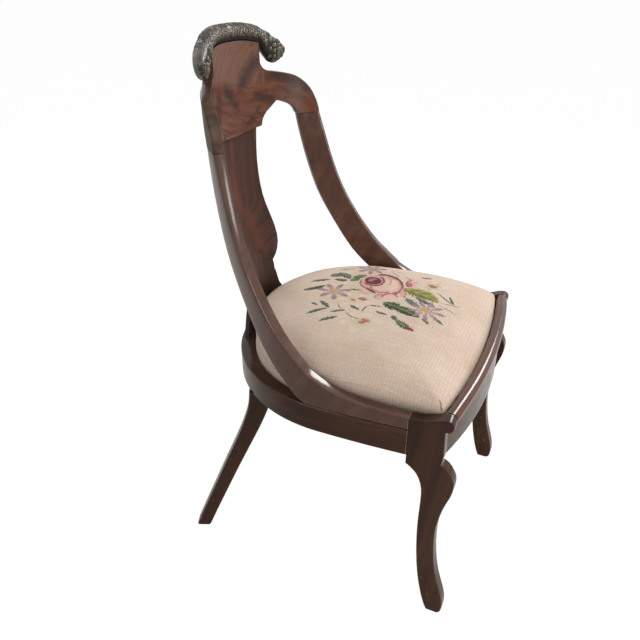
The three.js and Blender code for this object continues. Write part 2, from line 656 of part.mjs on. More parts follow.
function crestRing(angle, side) {
  const low = CREST_JOINT + JOINT_GAP;
  const bottom = low + CREST_HEIGHT * crestBottom(angle);
  // under the roll the board runs up into it, and the roll's cradle is cut out below
  const top = angle > neckAngle ? low + CREST_HEIGHT * crestShoulder(angle)
    : rollCentre(angle) - CREST_ROLL_RADIUS * cradleLipShare;
  const e = Math.min(CREST_ARRIS_RADIUS, (top - bottom) / 3);
  const es = e * arrisShare;
  const soft = angle > neckAngle ? 1 : 0;
  const middle = (bottom + top) / 2;
  // on the stile the lower edge is sharp, and the end is softened as the stile's edge is
  const f = angle < crestFootAngle ? e : Math.min(e, JOINT_GAP);
  const fs = f * arrisShare;
  const narrow = stileEdge(degrees(crestEndAngle - angle) * QUARTER * HOOP_RADIUS);
  const inner = STILE_BOARD - narrow;
  const outer = BACK_INSET + narrow;
  const ring = [[inner - f, bottom], [inner - fs, bottom + fs], [inner, bottom + f], [inner, middle],
    [inner, top - e], [inner - es * soft, top - es], [inner - e, top],
    [outer + e, top], [outer + es * soft, top - es], [outer, top - e],
    [outer, middle], [outer, bottom + f], [outer + fs, bottom + fs], [outer + f, bottom]];
  return ring.map(([d, h]) => hoop(degrees(angle), d, h, side));
}
function crest() {
  const columns = [];
  const places = [0, 5, 10, 14.5, 18.9, 19.3, 20, neckAngle, 20.35, 20.9, 21.7, 22.6, 23.7, 25, 27,
    29.1, 30.5, 32.5, 34.8, 36.8, 38.2, 39.3, 40.2, 42, 43.6, 45.6, 47.8, 49.3, 50.5, 50.99, 51.4, 51.77, 52.1];
  places.slice(1).reverse().forEach((a) => columns.push([a, -1]));
  places.forEach((a) => columns.push([a, 1]));
  return bodyFromRings(columns.map(([a, side]) => crestRing(a, side)));
}

// Carved roll along the crest, with a drooping knob at each end
const knobShares = [[0, 1], [0.3, 1.02], [0.5, 0.97], [0.68, 0.85], [0.84, 0.62], [0.95, 0.36], [1, 0.12]];
const knobShare = smoothLine(knobShares);
function crestRoll(room) {
  const angles = [];
  const along = 10;
  for (let i = 0; i <= along; i += 1) angles.push((rollEndAngle * i) / along);
  const ends = 8;
  for (let i = 1; i <= ends; i += 1) {
    angles.push(rollEndAngle + (knobEndAngle - rollEndAngle) * Math.sin((i / ends) * QUARTER));
  }
  const columns = [];
  angles.slice(1).reverse().forEach((a) => columns.push([a, -1]));
  angles.forEach((a) => columns.push([a, 1]));
  const round = 18;
  const growShare = 0.4;
  const rings = columns.map(([a, side]) => {
    const past = Math.max(0, a - rollEndAngle) / (knobEndAngle - rollEndAngle);
    const grown = Math.min(1, past / growShare);
    const taper = knobShare(past);
    const mix = (plain, knob) => plain + (knob - plain) * grown;
    const high = mix(CREST_ROLL_RADIUS, KNOB_RADIUS) * taper + room;
    const deep = mix(CREST_ROLL_DEPTH, KNOB_DEPTH) * taper + room;
    const inset = mix(CREST_ROLL_INSET, KNOB_INSET);
    const ring = [];
    for (let k = 0; k < round; k += 1) {
      const w = (k / round) * 2 * HALF_TURN;
      const z = rollCentre(a) + high * Math.cos(w);
      const p = hoop(degrees(a), inset + deep * Math.sin(w), rollCentre(a), side);
      ring.push(p.setZ(z));
    }
    return ring;
  });
  return bodyFromRings(rings);
}
add('crest_rail', cutBy(crest(), [crestRoll(JOINT_GAP)]), veneer);
add('crest_roll', crestRoll(0), carved);

// Splat: rows from the rail to the crest, [height share, half width share]
const splatShares = [[0, 1.3], [0.012, 1.25], [0.035, 1.15], [0.06, 1.06], [0.095, 0.95], [0.14, 0.8],
  [0.18, 0.735], [0.215, 0.7], [0.24, 0.655], [0.265, 0.66], [0.292, 0.645], [0.3, 0.69], [0.315, 0.79],
  [0.345, 0.9], [0.38, 0.975], [0.42, 1], [0.465, 0.99], [0.51, 0.955], [0.56, 0.9], [0.61, 0.84],
  [0.66, 0.8], [0.72, 0.778], [0.78, 0.775], [0.84, 0.79], [0.9, 0.82], [0.95, 0.855], [1, 0.89]];
function splat() {
  const low = RAIL_TOP + JOINT_GAP;
  const high = (a) => CREST_JOINT - JOINT_GAP + CREST_HEIGHT * crestBottom(a);
  const width = cornerLine(splatShares);
  const back = SPLAT_INSET;
  const front = SPLAT_INSET + SPLAT_THICKNESS;
  const across = 9;
  const e = SPLAT_ARRIS_RADIUS;
  const rings = [];
  splatShares.forEach(([h]) => {
    const half = SPLAT_HALF_WIDTH * width(h);
    const at = (x, d) => {
      const angle = Math.abs(x) / (HOOP_RADIUS - SPLAT_INSET - SPLAT_THICKNESS) / QUARTER;
      const z = low + (high(0) - low) * h + (high(angle * 90) - high(0)) * h ** 6;
      return hoop(angle, d, z, x < 0 ? -1 : 1);
    };
    const ring = [at(-half, front - e)];
    for (let i = 0; i <= across; i += 1) ring.push(at(-(half - e) + (2 * (half - e) * i) / across, front));
    ring.push(at(half, front - e), at(half, back + e));
    for (let i = across; i >= 0; i -= 1) ring.push(at(-(half - e) + (2 * (half - e) * i) / across, back));
    ring.push(at(-half, back + e));
    rings.push(ring);
  });
  return bodyFromRings(rings, true);
}
add('splat', splat(), veneer);

// Drop-in seat: outline inside the rails, and the frame bars on it
const seatDepth = (inset) => BOARD + SEAT_CLEARANCE + inset;
const seatFront = (x, inset) => frontInner(x) + SEAT_FRONT_CLEARANCE + inset;
const sideEnd = 1 - seatFront(LEG_INNER, 0) / SIDE_LENGTH;
const seatPoint = (station, inset, z, side) => hoop(station, seatDepth(inset), z, side);
function seatBar(from, to, steps, sideOf, low, high, wide) {
  const rings = [];
  for (let i = 0; i <= steps; i += 1) {
    const s = from + (to - from) * (i / steps);
    rings.push([[0, low], [wide, low], [wide, high], [0, high]]
      .map(([d, z]) => seatPoint(Math.abs(s), d, z, sideOf(s))));
  }
  return bodyFromRings(rings);
}
const seatJoint = degrees(44);
const seatGapShare = JOINT_GAP / (SIDE_LENGTH + SIDE_LENGTH);
sides.forEach(([name, side]) => {
  add(`seat_frame_${name}`, seatBar(seatJoint + seatGapShare, sideEnd, 18, () => side,
    SEAT_FRAME_BOTTOM, SEAT_FRAME_TOP, SEAT_BAR_WIDTH), beech);
});
add('seat_frame_rear', seatBar(-(seatJoint - seatGapShare), seatJoint - seatGapShare, 16,
  (s) => (s < 0 ? -1 : 1), SEAT_FRAME_BOTTOM, SEAT_FRAME_TOP, SEAT_BAR_WIDTH), beech);
function seatFrontBar() {
  const half = seatPoint(sideEnd, SEAT_BAR_WIDTH, 0, 1).x - JOINT_GAP;
  const steps = 10;
  const rings = [];
  for (let i = 0; i <= steps; i += 1) {
    const x = -half + (half + half) * (i / steps);
    const y = seatFront(x, 0);
    const inner = seatFront(LEG_INNER, SEAT_BAR_WIDTH / 2);
    rings.push([[y, SEAT_FRAME_BOTTOM], [inner, SEAT_FRAME_BOTTOM], [inner, SEAT_FRAME_TOP],
      [y, SEAT_FRAME_TOP]].map(([b, z]) => new THREE.Vector3(x, b, z)));
  }
  return bodyFromRings(rings);
}
add('seat_frame_front', seatFrontBar(), beech);

// Woven webbing across the frame
const webSpan = [-1, 0, 1];
const WEB_LOW = SEAT_FRAME_TOP + JOINT_GAP + WEB_THICKNESS / 2;
const WEB_HIGH = WEB_LOW + WEB_THICKNESS + JOINT_GAP;
const WEB_MIDDLE_Y = -(SIDE_LENGTH / 10);
function webStrip(centre, direction, ends, levels) {
  const rings = [];
  const places = [[ends[0], 0]];
  webSpan.forEach((k, i) => {
    const c = (direction === 'long' ? WEB_MIDDLE_Y : 0) + WEB_PITCH * k;
    places.push([c - WEB_WIDTH / 2, levels[i]], [c + WEB_WIDTH / 2, levels[i]]);
  });
  places.push([ends[1], 0]);
  places.forEach(([u, level]) => {
    const z = WEB_LOW + (WEB_HIGH - WEB_LOW) * level;
    const t = WEB_THICKNESS / 2;
    rings.push([[-WEB_WIDTH / 2, z - t], [WEB_WIDTH / 2, z - t], [WEB_WIDTH / 2, z + t],
      [-WEB_WIDTH / 2, z + t]].map(([v, h]) => (direction === 'long'
      ? new THREE.Vector3(centre + v, u, h) : new THREE.Vector3(u, centre + v, h))));
  });
  return bodyFromRings(rings);
}
webSpan.forEach((k, i) => {
  const x = WEB_PITCH * k;
  const barShare = 0.3;
  const grip = SEAT_BAR_WIDTH * barShare;
  const far = Math.abs(x) + WEB_WIDTH / 2;
  const reach = Math.sqrt((HOOP_RADIUS - seatDepth(grip)) ** 2 - far ** 2);
  const front = seatFront(0, grip);
  const levels = webSpan.map((_, j) => ((i + j) % 2 === 0 ? 1 : 0));
  add(`web_long_${i + 1}`, webStrip(x, 'long', [Math.max(front, seatFront(far, grip)), reach], levels), jute);
  const y = WEB_MIDDLE_Y + WEB_PITCH * k;
  const deep = Math.max(0, y + WEB_WIDTH / 2);
  const half = Math.sqrt((HOOP_RADIUS - seatDepth(grip)) ** 2 - deep ** 2) - SIDE_DRAW;
  const crossLevels = webSpan.map((_, j) => ((i + j) % 2 === 0 ? 0 : 1));
  add(`web_cross_${i + 1}`, webStrip(y, 'cross', [-half, half], crossLevels), jute);
});

// Seat outline as a loop of points at an inset, used for the hessian and the cushion. It can
// spread sideways beside the legs and forward as far as the roll, each by a share.
const spreadEnd = 1.5;
const spreadStart = 0.9;
function spreadAt(station) {
  const t = Math.min(1, Math.max(0, (station - spreadStart) / (spreadEnd - spreadStart)));
  return CUSHION_SPREAD * t * t * (3 - 2 * t);
}
const forwardReach = (x) => Math.max(0, seatFront(x, 0) - (noseLine(x) + NOSE_RADIUS + ROLL_CLEARANCE));
function seatLoop(inset, z, sideShare, frontShare) {
  const points = [];
  const sideSteps = 7;
  const bends = 14;
  const corner = seatPoint(sideEnd, 0, z, 1).x + CUSHION_SPREAD;
  const end = sideEnd + (forwardReach(corner) * frontShare - inset) / SIDE_LENGTH;
  const place = (s, side) => seatPoint(s, inset - spreadAt(s) * sideShare, z, side);
  for (let i = 0; i < sideSteps; i += 1) points.push(place(end - (end - 1) * (i / sideSteps), -1));
  for (let i = -bends; i <= bends; i += 1) points.push(place(Math.abs(i) / bends, i < 0 ? -1 : 1));
  for (let i = sideSteps - 1; i >= 0; i -= 1) points.push(place(end - (end - 1) * (i / sideSteps), 1));
  const frontSteps = 12;
  const left = points[0].x;
  for (let i = 1; i < frontSteps; i += 1) {
    const x = ((left + left) * i) / frontSteps - left;
    points.push(new THREE.Vector3(x, seatFront(x, inset) - forwardReach(x) * frontShare, z));
  }
  return points;
}
const HESSIAN_BOTTOM = WEB_HIGH + WEB_THICKNESS / 2 + JOINT_GAP;
const HESSIAN_TOP = HESSIAN_BOTTOM + HESSIAN_THICKNESS;
add('seat_hessian', bodyFromRings([seatLoop(SEAT_FRONT_CLEARANCE, HESSIAN_BOTTOM, 0, 0),
  seatLoop(SEAT_FRONT_CLEARANCE, HESSIAN_TOP, 0, 0)]), jute);

// Cushion: full at the edge, spread over the rail tops at the front, rising to a crown, lower
// along the front. Rows of inset, height, and the shares of the two spreads.
const cushionShares = [[0.012, 0, 0, 0], [0.004, 0.16, 0, 0], [0.001, 0.468, 0.55, 0],
  [0, 0.475, 0.6, 1], [-0.001, 0.7, 1, 1], [0.002, 0.88, 1, 1], [0.012, 0.99, 1, 1],
  [0.032, 1.12, 0.9, 1], [0.07, 1.27, 0.75, 0.85], [0.13, 1.4, 0.5, 0.6], [0.22, 1.52, 0.3, 0.35],
  [0.35, 1.62, 0.1, 0.15], [0.52, 1.7, 0, 0], [0.72, 1.74, 0, 0], [0.9, 1.75, 0, 0]];
function cushion() {
  const base = HESSIAN_TOP + JOINT_GAP;
  const reach = HOOP_RADIUS - BOARD;
  const crownShare = cushionShares[cushionShares.length - 1][1] - 1;
  const fallShare = 0.5;
  const fallStart = SIDE_LENGTH * (1 - fallShare);
  const raised = (p, rise) => {
    const forward = Math.max(0, (-p.y - fallStart) / (FRONT_RAIL_REACH - FRONT_RAIL_BOARD - fallStart));
    const edge = CUSHION_EDGE_HEIGHT - CUSHION_FRONT_FALL * forward ** 2;
    return base + edge * Math.min(1, rise) + (CUSHION_CROWN * Math.max(0, rise - 1)) / crownShare;
  };
  return bodyFromRings(cushionShares.map(([inset, rise, sideShare, frontShare]) => {
    const loop = seatLoop(reach * inset, 0, sideShare, frontShare);
    return loop.map((p) => p.setZ(raised(p, rise)));
  }));
}
add('seat_cushion', cushion(), needlepoint);

// Stand the chair on the floor with its middle over the origin
chair.updateMatrixWorld(true);
const bounds = new THREE.Box3().setFromObject(chair);
chair.position.set(-(bounds.min.x + bounds.max.x) / 2, -(bounds.min.y + bounds.max.y) / 2, -bounds.min.z);

export default chair;
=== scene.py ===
"""Looks of a mahogany side chair with a hooped back and a needlepoint drop-in seat."""

import json
import math

import bpy
import numpy as np
from mathutils import Matrix, Vector

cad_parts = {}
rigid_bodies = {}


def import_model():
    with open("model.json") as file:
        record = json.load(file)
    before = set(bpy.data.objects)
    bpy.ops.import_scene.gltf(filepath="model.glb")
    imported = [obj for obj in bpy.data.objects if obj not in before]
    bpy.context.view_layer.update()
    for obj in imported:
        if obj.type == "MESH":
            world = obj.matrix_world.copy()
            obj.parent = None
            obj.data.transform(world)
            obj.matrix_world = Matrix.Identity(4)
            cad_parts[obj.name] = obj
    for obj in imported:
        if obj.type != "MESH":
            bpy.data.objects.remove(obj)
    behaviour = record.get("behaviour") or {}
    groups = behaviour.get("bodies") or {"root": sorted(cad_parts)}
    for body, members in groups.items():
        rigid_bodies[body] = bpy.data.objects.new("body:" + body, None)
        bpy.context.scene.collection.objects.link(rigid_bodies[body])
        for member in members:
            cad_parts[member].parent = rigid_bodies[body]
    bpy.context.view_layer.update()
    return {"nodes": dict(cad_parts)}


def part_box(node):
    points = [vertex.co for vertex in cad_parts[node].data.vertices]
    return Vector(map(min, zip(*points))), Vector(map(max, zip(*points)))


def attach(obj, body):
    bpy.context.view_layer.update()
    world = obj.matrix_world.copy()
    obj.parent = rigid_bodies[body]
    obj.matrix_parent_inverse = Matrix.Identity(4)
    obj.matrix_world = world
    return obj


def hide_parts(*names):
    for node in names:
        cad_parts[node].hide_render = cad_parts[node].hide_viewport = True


for leftover in list(bpy.data.objects):
    bpy.data.objects.remove(leftover, do_unlink=True)
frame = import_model()
cad = frame["nodes"]
scene = bpy.context.scene


def tuned(thing, **settings):
    """Sets a thing's settings in their order, and returns it."""
    for key, value in settings.items():
        setattr(thing, key, value)
    return thing


def placed(name, data):
    """A new object in the scene."""
    made = bpy.data.objects.new(name, data)
    scene.collection.objects.link(made)
    return made


# ---------------------------------------------------------------- camera and lamps
def make_camera(place, yaw, pitch, lens):
    """The photo's camera: yaw from +X, pitch down, both in degrees, and lens in millimetres."""
    a, e = math.radians(yaw), math.radians(pitch)
    ahead = Vector((math.cos(a) * math.cos(e), math.sin(a) * math.cos(e), -math.sin(e)))
    right = Vector((math.sin(a), -math.cos(a), 0.0))
    up = right.cross(ahead)
    data = tuned(bpy.data.cameras.new("camera"), sensor_width=36.0, lens=lens, clip_end=80.0)
    camera = placed("camera", data)
    turned = Matrix((right, up, -ahead)).transposed().to_4x4()
    turned.translation = Vector(place)
    camera.matrix_world = turned
    scene.camera = camera


make_camera((-0.9313, -0.3466, 0.9679), yaw=24.3, pitch=29.5, lens=34.875)


def area_lamp(name, place, aim, size, power, colour=(1.0, 1.0, 1.0)):
    """A soft box that looks at a point: size in metres, power in watts."""
    data = tuned(bpy.data.lights.new(name, "AREA"), shape="RECTANGLE", size=size[0], size_y=size[1],
                 energy=power, color=colour)
    turn = (Vector(aim) - Vector(place)).to_track_quat("-Z", "Y")
    tuned(placed(name, data), location=place, rotation_mode="QUATERNION", rotation_quaternion=turn)


area_lamp("lamp_key", (-1.0, -1.8, 2.7), (0, 0, 0.4), (0.42, 2.0), 18, (1.0, 0.99, 0.97))
area_lamp("lamp_right", (2.0, -0.9, 2.0), (0, 0, 0.5), (0.8, 0.8), 34, (1.0, 0.995, 0.98))
area_lamp("lamp_front", (-0.7, -2.7, 0.8), (0, 0, 0.6), (0.5, 1.3), 22, (1.0, 0.99, 0.97))
area_lamp("lamp_side", (-2.2, 1.3, 1.9), (0, 0, 0.5), (0.9, 1.6), 8, (0.97, 0.99, 1.0))
area_lamp("lamp_rear", (1.3, 1.9, 2.3), (0, 0, 0.5), (0.9, 0.9), 12)

scene.view_settings.view_transform = "Standard"


# ---------------------------------------------------------------- node-building helpers
def srgb(*values):
    """A display colour from 0 to 255 as the linear colour that the shaders take."""
    out = []
    for v in values:
        c = v / 255.0
        out.append(c / 12.92 if c <= 0.04045 else ((c + 0.055) / 1.055) ** 2.4)
    return tuple(out) + (1.0,)


class Shader:
    """A node tree, a new material's if none is given, with short calls for the nodes used here."""

    def __init__(self, name=None, tree=None):
        if tree is None:
            self.material = bpy.data.materials.new(name)
            self.material.use_nodes = True
            tree = self.material.node_tree
            tree.nodes.clear()
        self.tree = tree

    def node(self, kind, **settings):
        return tuned(self.tree.nodes.new(kind), **settings)

    def put(self, value, socket):
        if isinstance(value, bpy.types.NodeSocket):
            self.tree.links.new(value, socket)
        else:
            socket.default_value = value

    def feed(self, made, *values, **named):
        """Puts values into a node's sockets, in their order or by name, and returns what comes out."""
        for value, socket in zip(values, made.inputs):
            self.put(value, socket)
        for key, value in named.items():
            self.put(value, made.inputs[key.replace("_", " ")])
        return made.outputs

    def math(self, operation, *values, clamp=False):
        return self.feed(self.node("ShaderNodeMath", operation=operation, use_clamp=clamp), *values)[0]

    def vector(self, operation, *values, result=0):
        return self.feed(self.node("ShaderNodeVectorMath", operation=operation), *values)[result]

    def plus(self, a, b, clamp=False):
        return self.math("ADD", a, b, clamp=clamp)

    def minus(self, a, b):
        return self.math("SUBTRACT", a, b)

    def times(self, a, b):
        return self.math("MULTIPLY", a, b)

    def sway(self, value, amount):
        """A noise value of 0 to 1 as a shift to both sides."""
        return self.times(self.minus(value, 0.5), amount)

    def dot(self, a, b):
        return self.vector("DOT_PRODUCT", a, b, result=1)

    def length(self, a):
        return self.vector("LENGTH", a, result=1)

    def scaled(self, vector, amounts):
        return self.vector("MULTIPLY", vector, amounts)

    def scale(self, vector, amount):
        """A vector or colour times one number that changes from place to place."""
        return self.feed(self.node("ShaderNodeVectorMath", operation="SCALE"), vector, Scale=amount)[0]

    def split(self, vector):
        return self.feed(self.node("ShaderNodeSeparateXYZ"), vector)[:3]

    def join(self, x, y, z):
        return self.feed(self.node("ShaderNodeCombineXYZ"), x, y, z)[0]

    def noise(self, vector, scale, detail=3.0, rough=0.55, twist=0.0):
        return self.feed(self.node("ShaderNodeTexNoise"), Vector=vector, Scale=scale, Detail=detail,
                         Roughness=rough, Distortion=twist)[0]

    def ramp(self, value, stops):
        """A value as a colour, through (place, display colour) stops."""
        made = self.node("ShaderNodeValToRGB")
        line = made.color_ramp
        while len(line.elements) < len(stops):
            line.elements.new(0.5)
        for element, (place, shade) in zip(line.elements, stops):
            element.position = place
            element.color = srgb(*shade)
        return self.feed(made, value)[0]

    def grade(self, value, low, high, to_low=0.0, to_high=1.0):
        """A smooth step from to_low at low to to_high at high, held beyond both."""
        made = self.node("ShaderNodeMapRange", interpolation_type="SMOOTHSTEP")
        return self.feed(made, value, low, high, to_low, to_high)[0]

    def mix(self, share, a, b):
        """Colour a with the share of colour b over it."""
        made = self.node("ShaderNodeMix", data_type="RGBA")
        self.put(share, made.inputs[0])
        self.put(a, made.inputs[6])
        self.put(b, made.inputs[7])
        return made.outputs[2]

    def mix_shader(self, share, a, b):
        return self.feed(self.node("ShaderNodeMixShader"), share, a, b)[0]

    def bump(self, height, distance, strength):
        return self.feed(self.node("ShaderNodeBump"), Strength=strength, Distance=distance,
                         Height=height)[0]

    def place(self):
        return self.node("ShaderNodeTexCoord").outputs["Object"]

    def finish(self, colour, roughness, normal, **constant):
        """The material's surface, with constants set on the shader's own sockets."""
        surface = self.feed(self.node("ShaderNodeBsdfPrincipled"), Base_Color=colour,
                            Roughness=roughness, Normal=normal, **constant)
        self.feed(self.node("ShaderNodeOutputMaterial"), surface[0])
        return self.material


def node_group(name, inputs, outputs, sort="Float", kind="ShaderNodeTree"):
    """A new group of nodes: its tree's helper, and the sockets inside for what comes in and goes out."""
    tree = bpy.data.node_groups.new(name, kind)
    for label, its_sort in inputs:
        tree.interface.new_socket(label, in_out="INPUT", socket_type="NodeSocket" + its_sort)
    for label in outputs:
        tree.interface.new_socket(label, in_out="OUTPUT", socket_type="NodeSocket" + sort)
    t = Shader(tree=tree)
    return t, t.node("NodeGroupInput").outputs, t.node("NodeGroupOutput").inputs


def clamped(value):
    return min(1.0, max(0.0, value))


# ---------------------------------------------------------------- world
def white_world():
    """White paper all round: full white where it is seen or mirrored, and weaker as a light."""
    world = bpy.data.worlds.new("world")
    scene.world = world
    world.use_nodes = True
    world.node_tree.nodes.clear()
    t = Shader(tree=world.node_tree)
    skies = [t.feed(t.node("ShaderNodeBackground"), Color=colour, Strength=strength)[0]
             for colour, strength in (((1.0, 0.995, 0.985, 1.0), 0.42), ((1.0, 1.0, 1.0, 1.0), 1.0))]
    ray = t.node("ShaderNodeLightPath").outputs
    seen = t.math("MAXIMUM", ray["Is Camera Ray"], ray["Is Glossy Ray"])
    seen = t.math("MAXIMUM", seen, ray["Is Transmission Ray"])
    t.feed(t.node("ShaderNodeOutputWorld"), t.mix_shader(seen, *skies))


white_world()


# ---------------------------------------------------------------- wood
def grain_frame(t, along):
    """Coordinates with the grain along X."""
    u = Vector(along).normalized()
    v = u.cross(Vector((0, 0, 1)) if abs(u.z) < 0.9 else Vector((0, 1, 0))).normalized()
    w = u.cross(v)
    p = t.place()
    parts = [t.dot(p, tuple(axis)) for axis in (u, v, w)]
    return t.join(*parts)


# four shades of the figure, dark to light, and the share of polish
TONES = {
    "dark": ((45, 25, 14), (58, 33, 19), (68, 40, 24), (85, 52, 32)),
    "brown": ((74, 47, 37), (84, 55, 43), (93, 62, 49), (108, 74, 59)),
    "red": ((62, 30, 20), (82, 42, 28), (98, 53, 36), (118, 70, 48)),
}
POLISH = {"dark": 0.2, "brown": 0.6, "red": 0.55}
SCUFF_HEIGHT = 0.17


def mahogany(name, along, joints=(), tone="dark"):
    """Polished mahogany: calm dark brown, faint ribbon grain, short pores, a worn clear coat.
    A joint is an axis, a place on it and the width of its line."""
    t = Shader(name)
    g = grain_frame(t, along)
    sway = t.noise(t.scaled(g, (5.0, 14.0, 14.0)), 1.0, 2.0)
    bent = t.vector("ADD", g, t.join(0.0, t.sway(sway, 0.012), 0.0))
    bands = t.noise(t.scaled(bent, (3.0, 55.0, 55.0)), 1.0, 3.0, 0.5)
    streaks = t.noise(t.scaled(bent, (9.0, 520.0, 520.0)), 1.0, 3.0, 0.6)
    figure = t.plus(t.times(bands, 0.72), t.times(streaks, 0.28))
    colour = t.ramp(figure, list(zip((0.28, 0.44, 0.56, 0.74), TONES[tone])))
    smoky = t.noise(t.scaled(g, (5.0, 9.0, 9.0)), 1.0, 2.0)
    colour = t.mix(t.grade(smoky, 0.5, 0.78, 0.0, 0.5), colour, srgb(48, 33, 22))
    pores = t.noise(t.scaled(bent, (75.0, 1500.0, 1500.0)), 1.0, 2.0, 0.5)
    pore = t.grade(pores, 0.62, 0.72)
    colour = t.mix(t.times(pore, 0.35), colour, srgb(28, 17, 12))
    # a pale line of old glue and polish where two members meet
    for axis, at, wide in joints:
        value = t.split(t.place())[axis]
        near = t.math("ABSOLUTE", t.minus(value, at))
        worn = t.grade(t.noise(t.place(), 140.0, 2.0), 0.3, 0.5, 0.35, 1.0)
        line = t.times(t.grade(near, wide * 0.5, wide, 1.0, 0.0), worn)
        colour = t.mix(line, colour, srgb(140, 126, 108))
    # chips and scuffs near the floor
    low = t.grade(t.split(t.place())[2], 0.02, SCUFF_HEIGHT, 0.9, 0.0)
    chip = t.grade(t.noise(t.scaled(t.place(), (1.0, 1.0, 0.6)), 150.0, 2.0, 0.6), 0.66, 0.72)
    colour = t.mix(t.times(low, chip), colour, srgb(128, 98, 74))
    wear = t.noise(t.scaled(g, (22.0, 60.0, 60.0)), 1.0, 4.0, 0.6)
    rough = t.grade(wear, 0.3, 0.75, 0.16, 0.28)
    waves = t.noise(t.scaled(g, (9.0, 40.0, 40.0)), 1.0, 2.0)
    height = t.minus(t.times(waves, 0.6), t.times(pore, 0.12))
    return t.finish(colour, rough, t.bump(height, 0.0006, 0.3),
                    Coat_Weight=POLISH[tone], Coat_Roughness=0.1, Specular_IOR_Level=0.14)


SMUDGE_SHARPNESS = 620.0


def smudge(t, x, z, start, end, size):
    """A soft patch round a line from start to end, in millimetres on the face."""
    q = t.join(t.minus(x, start[0] / 1000.0), t.minus(z, start[1] / 1000.0), 0.0)
    d = Vector((end[0] - start[0], end[1] - start[1], 0.0)) / 1000.0
    along = t.math("DIVIDE", t.dot(q, tuple(d)), d.length_squared, clamp=True)
    away = t.length(t.vector("SUBTRACT", q, t.scale(tuple(d), along)))
    return t.grade(away, 0.0, size / SMUDGE_SHARPNESS, 1.0, 0.0)


def veneer_figure(t, line, other, broad, thin, share):
    """Broad bands with the given share, and the fine streaks, which come back alone as well."""
    bands = t.noise(t.join(t.times(line, broad[0]), t.times(other, broad[1]), 0.0), 1.0, 2.0, 0.5)
    fine = t.noise(t.join(t.times(line, thin[0]), t.times(other, thin[1]), 2.0), 1.0, 3.0, 0.6)
    return t.plus(t.times(bands, share), t.times(fine, 1.0 - share)), fine


# warm patches on the crest: a place (millimetres), colour, and whether both arms have it
WARM_PATCHES = (((73, 782), (122, 72, 48), False), ((27, 766), (114, 62, 50), False),
                ((150, 752), (112, 62, 42), True))
# dark patches on the crest: from, to, size (millimetres) and share
DARK_PATCHES = (((60, 830), (36, 806), 13, 0.75), ((34, 800), (26, 792), 10, 0.6),
                ((-26, 797), (-8, 788), 10, 0.7), ((-8, 784), (6, 764), 12, 0.6),
                ((62, 775), (90, 766), 8, 0.75), ((-62, 790), (-68, 756), 16, 0.7))
# where the arms begin, and the height that their bands turn round
ARM_START, ARM_TURN = 0.085, 0.70


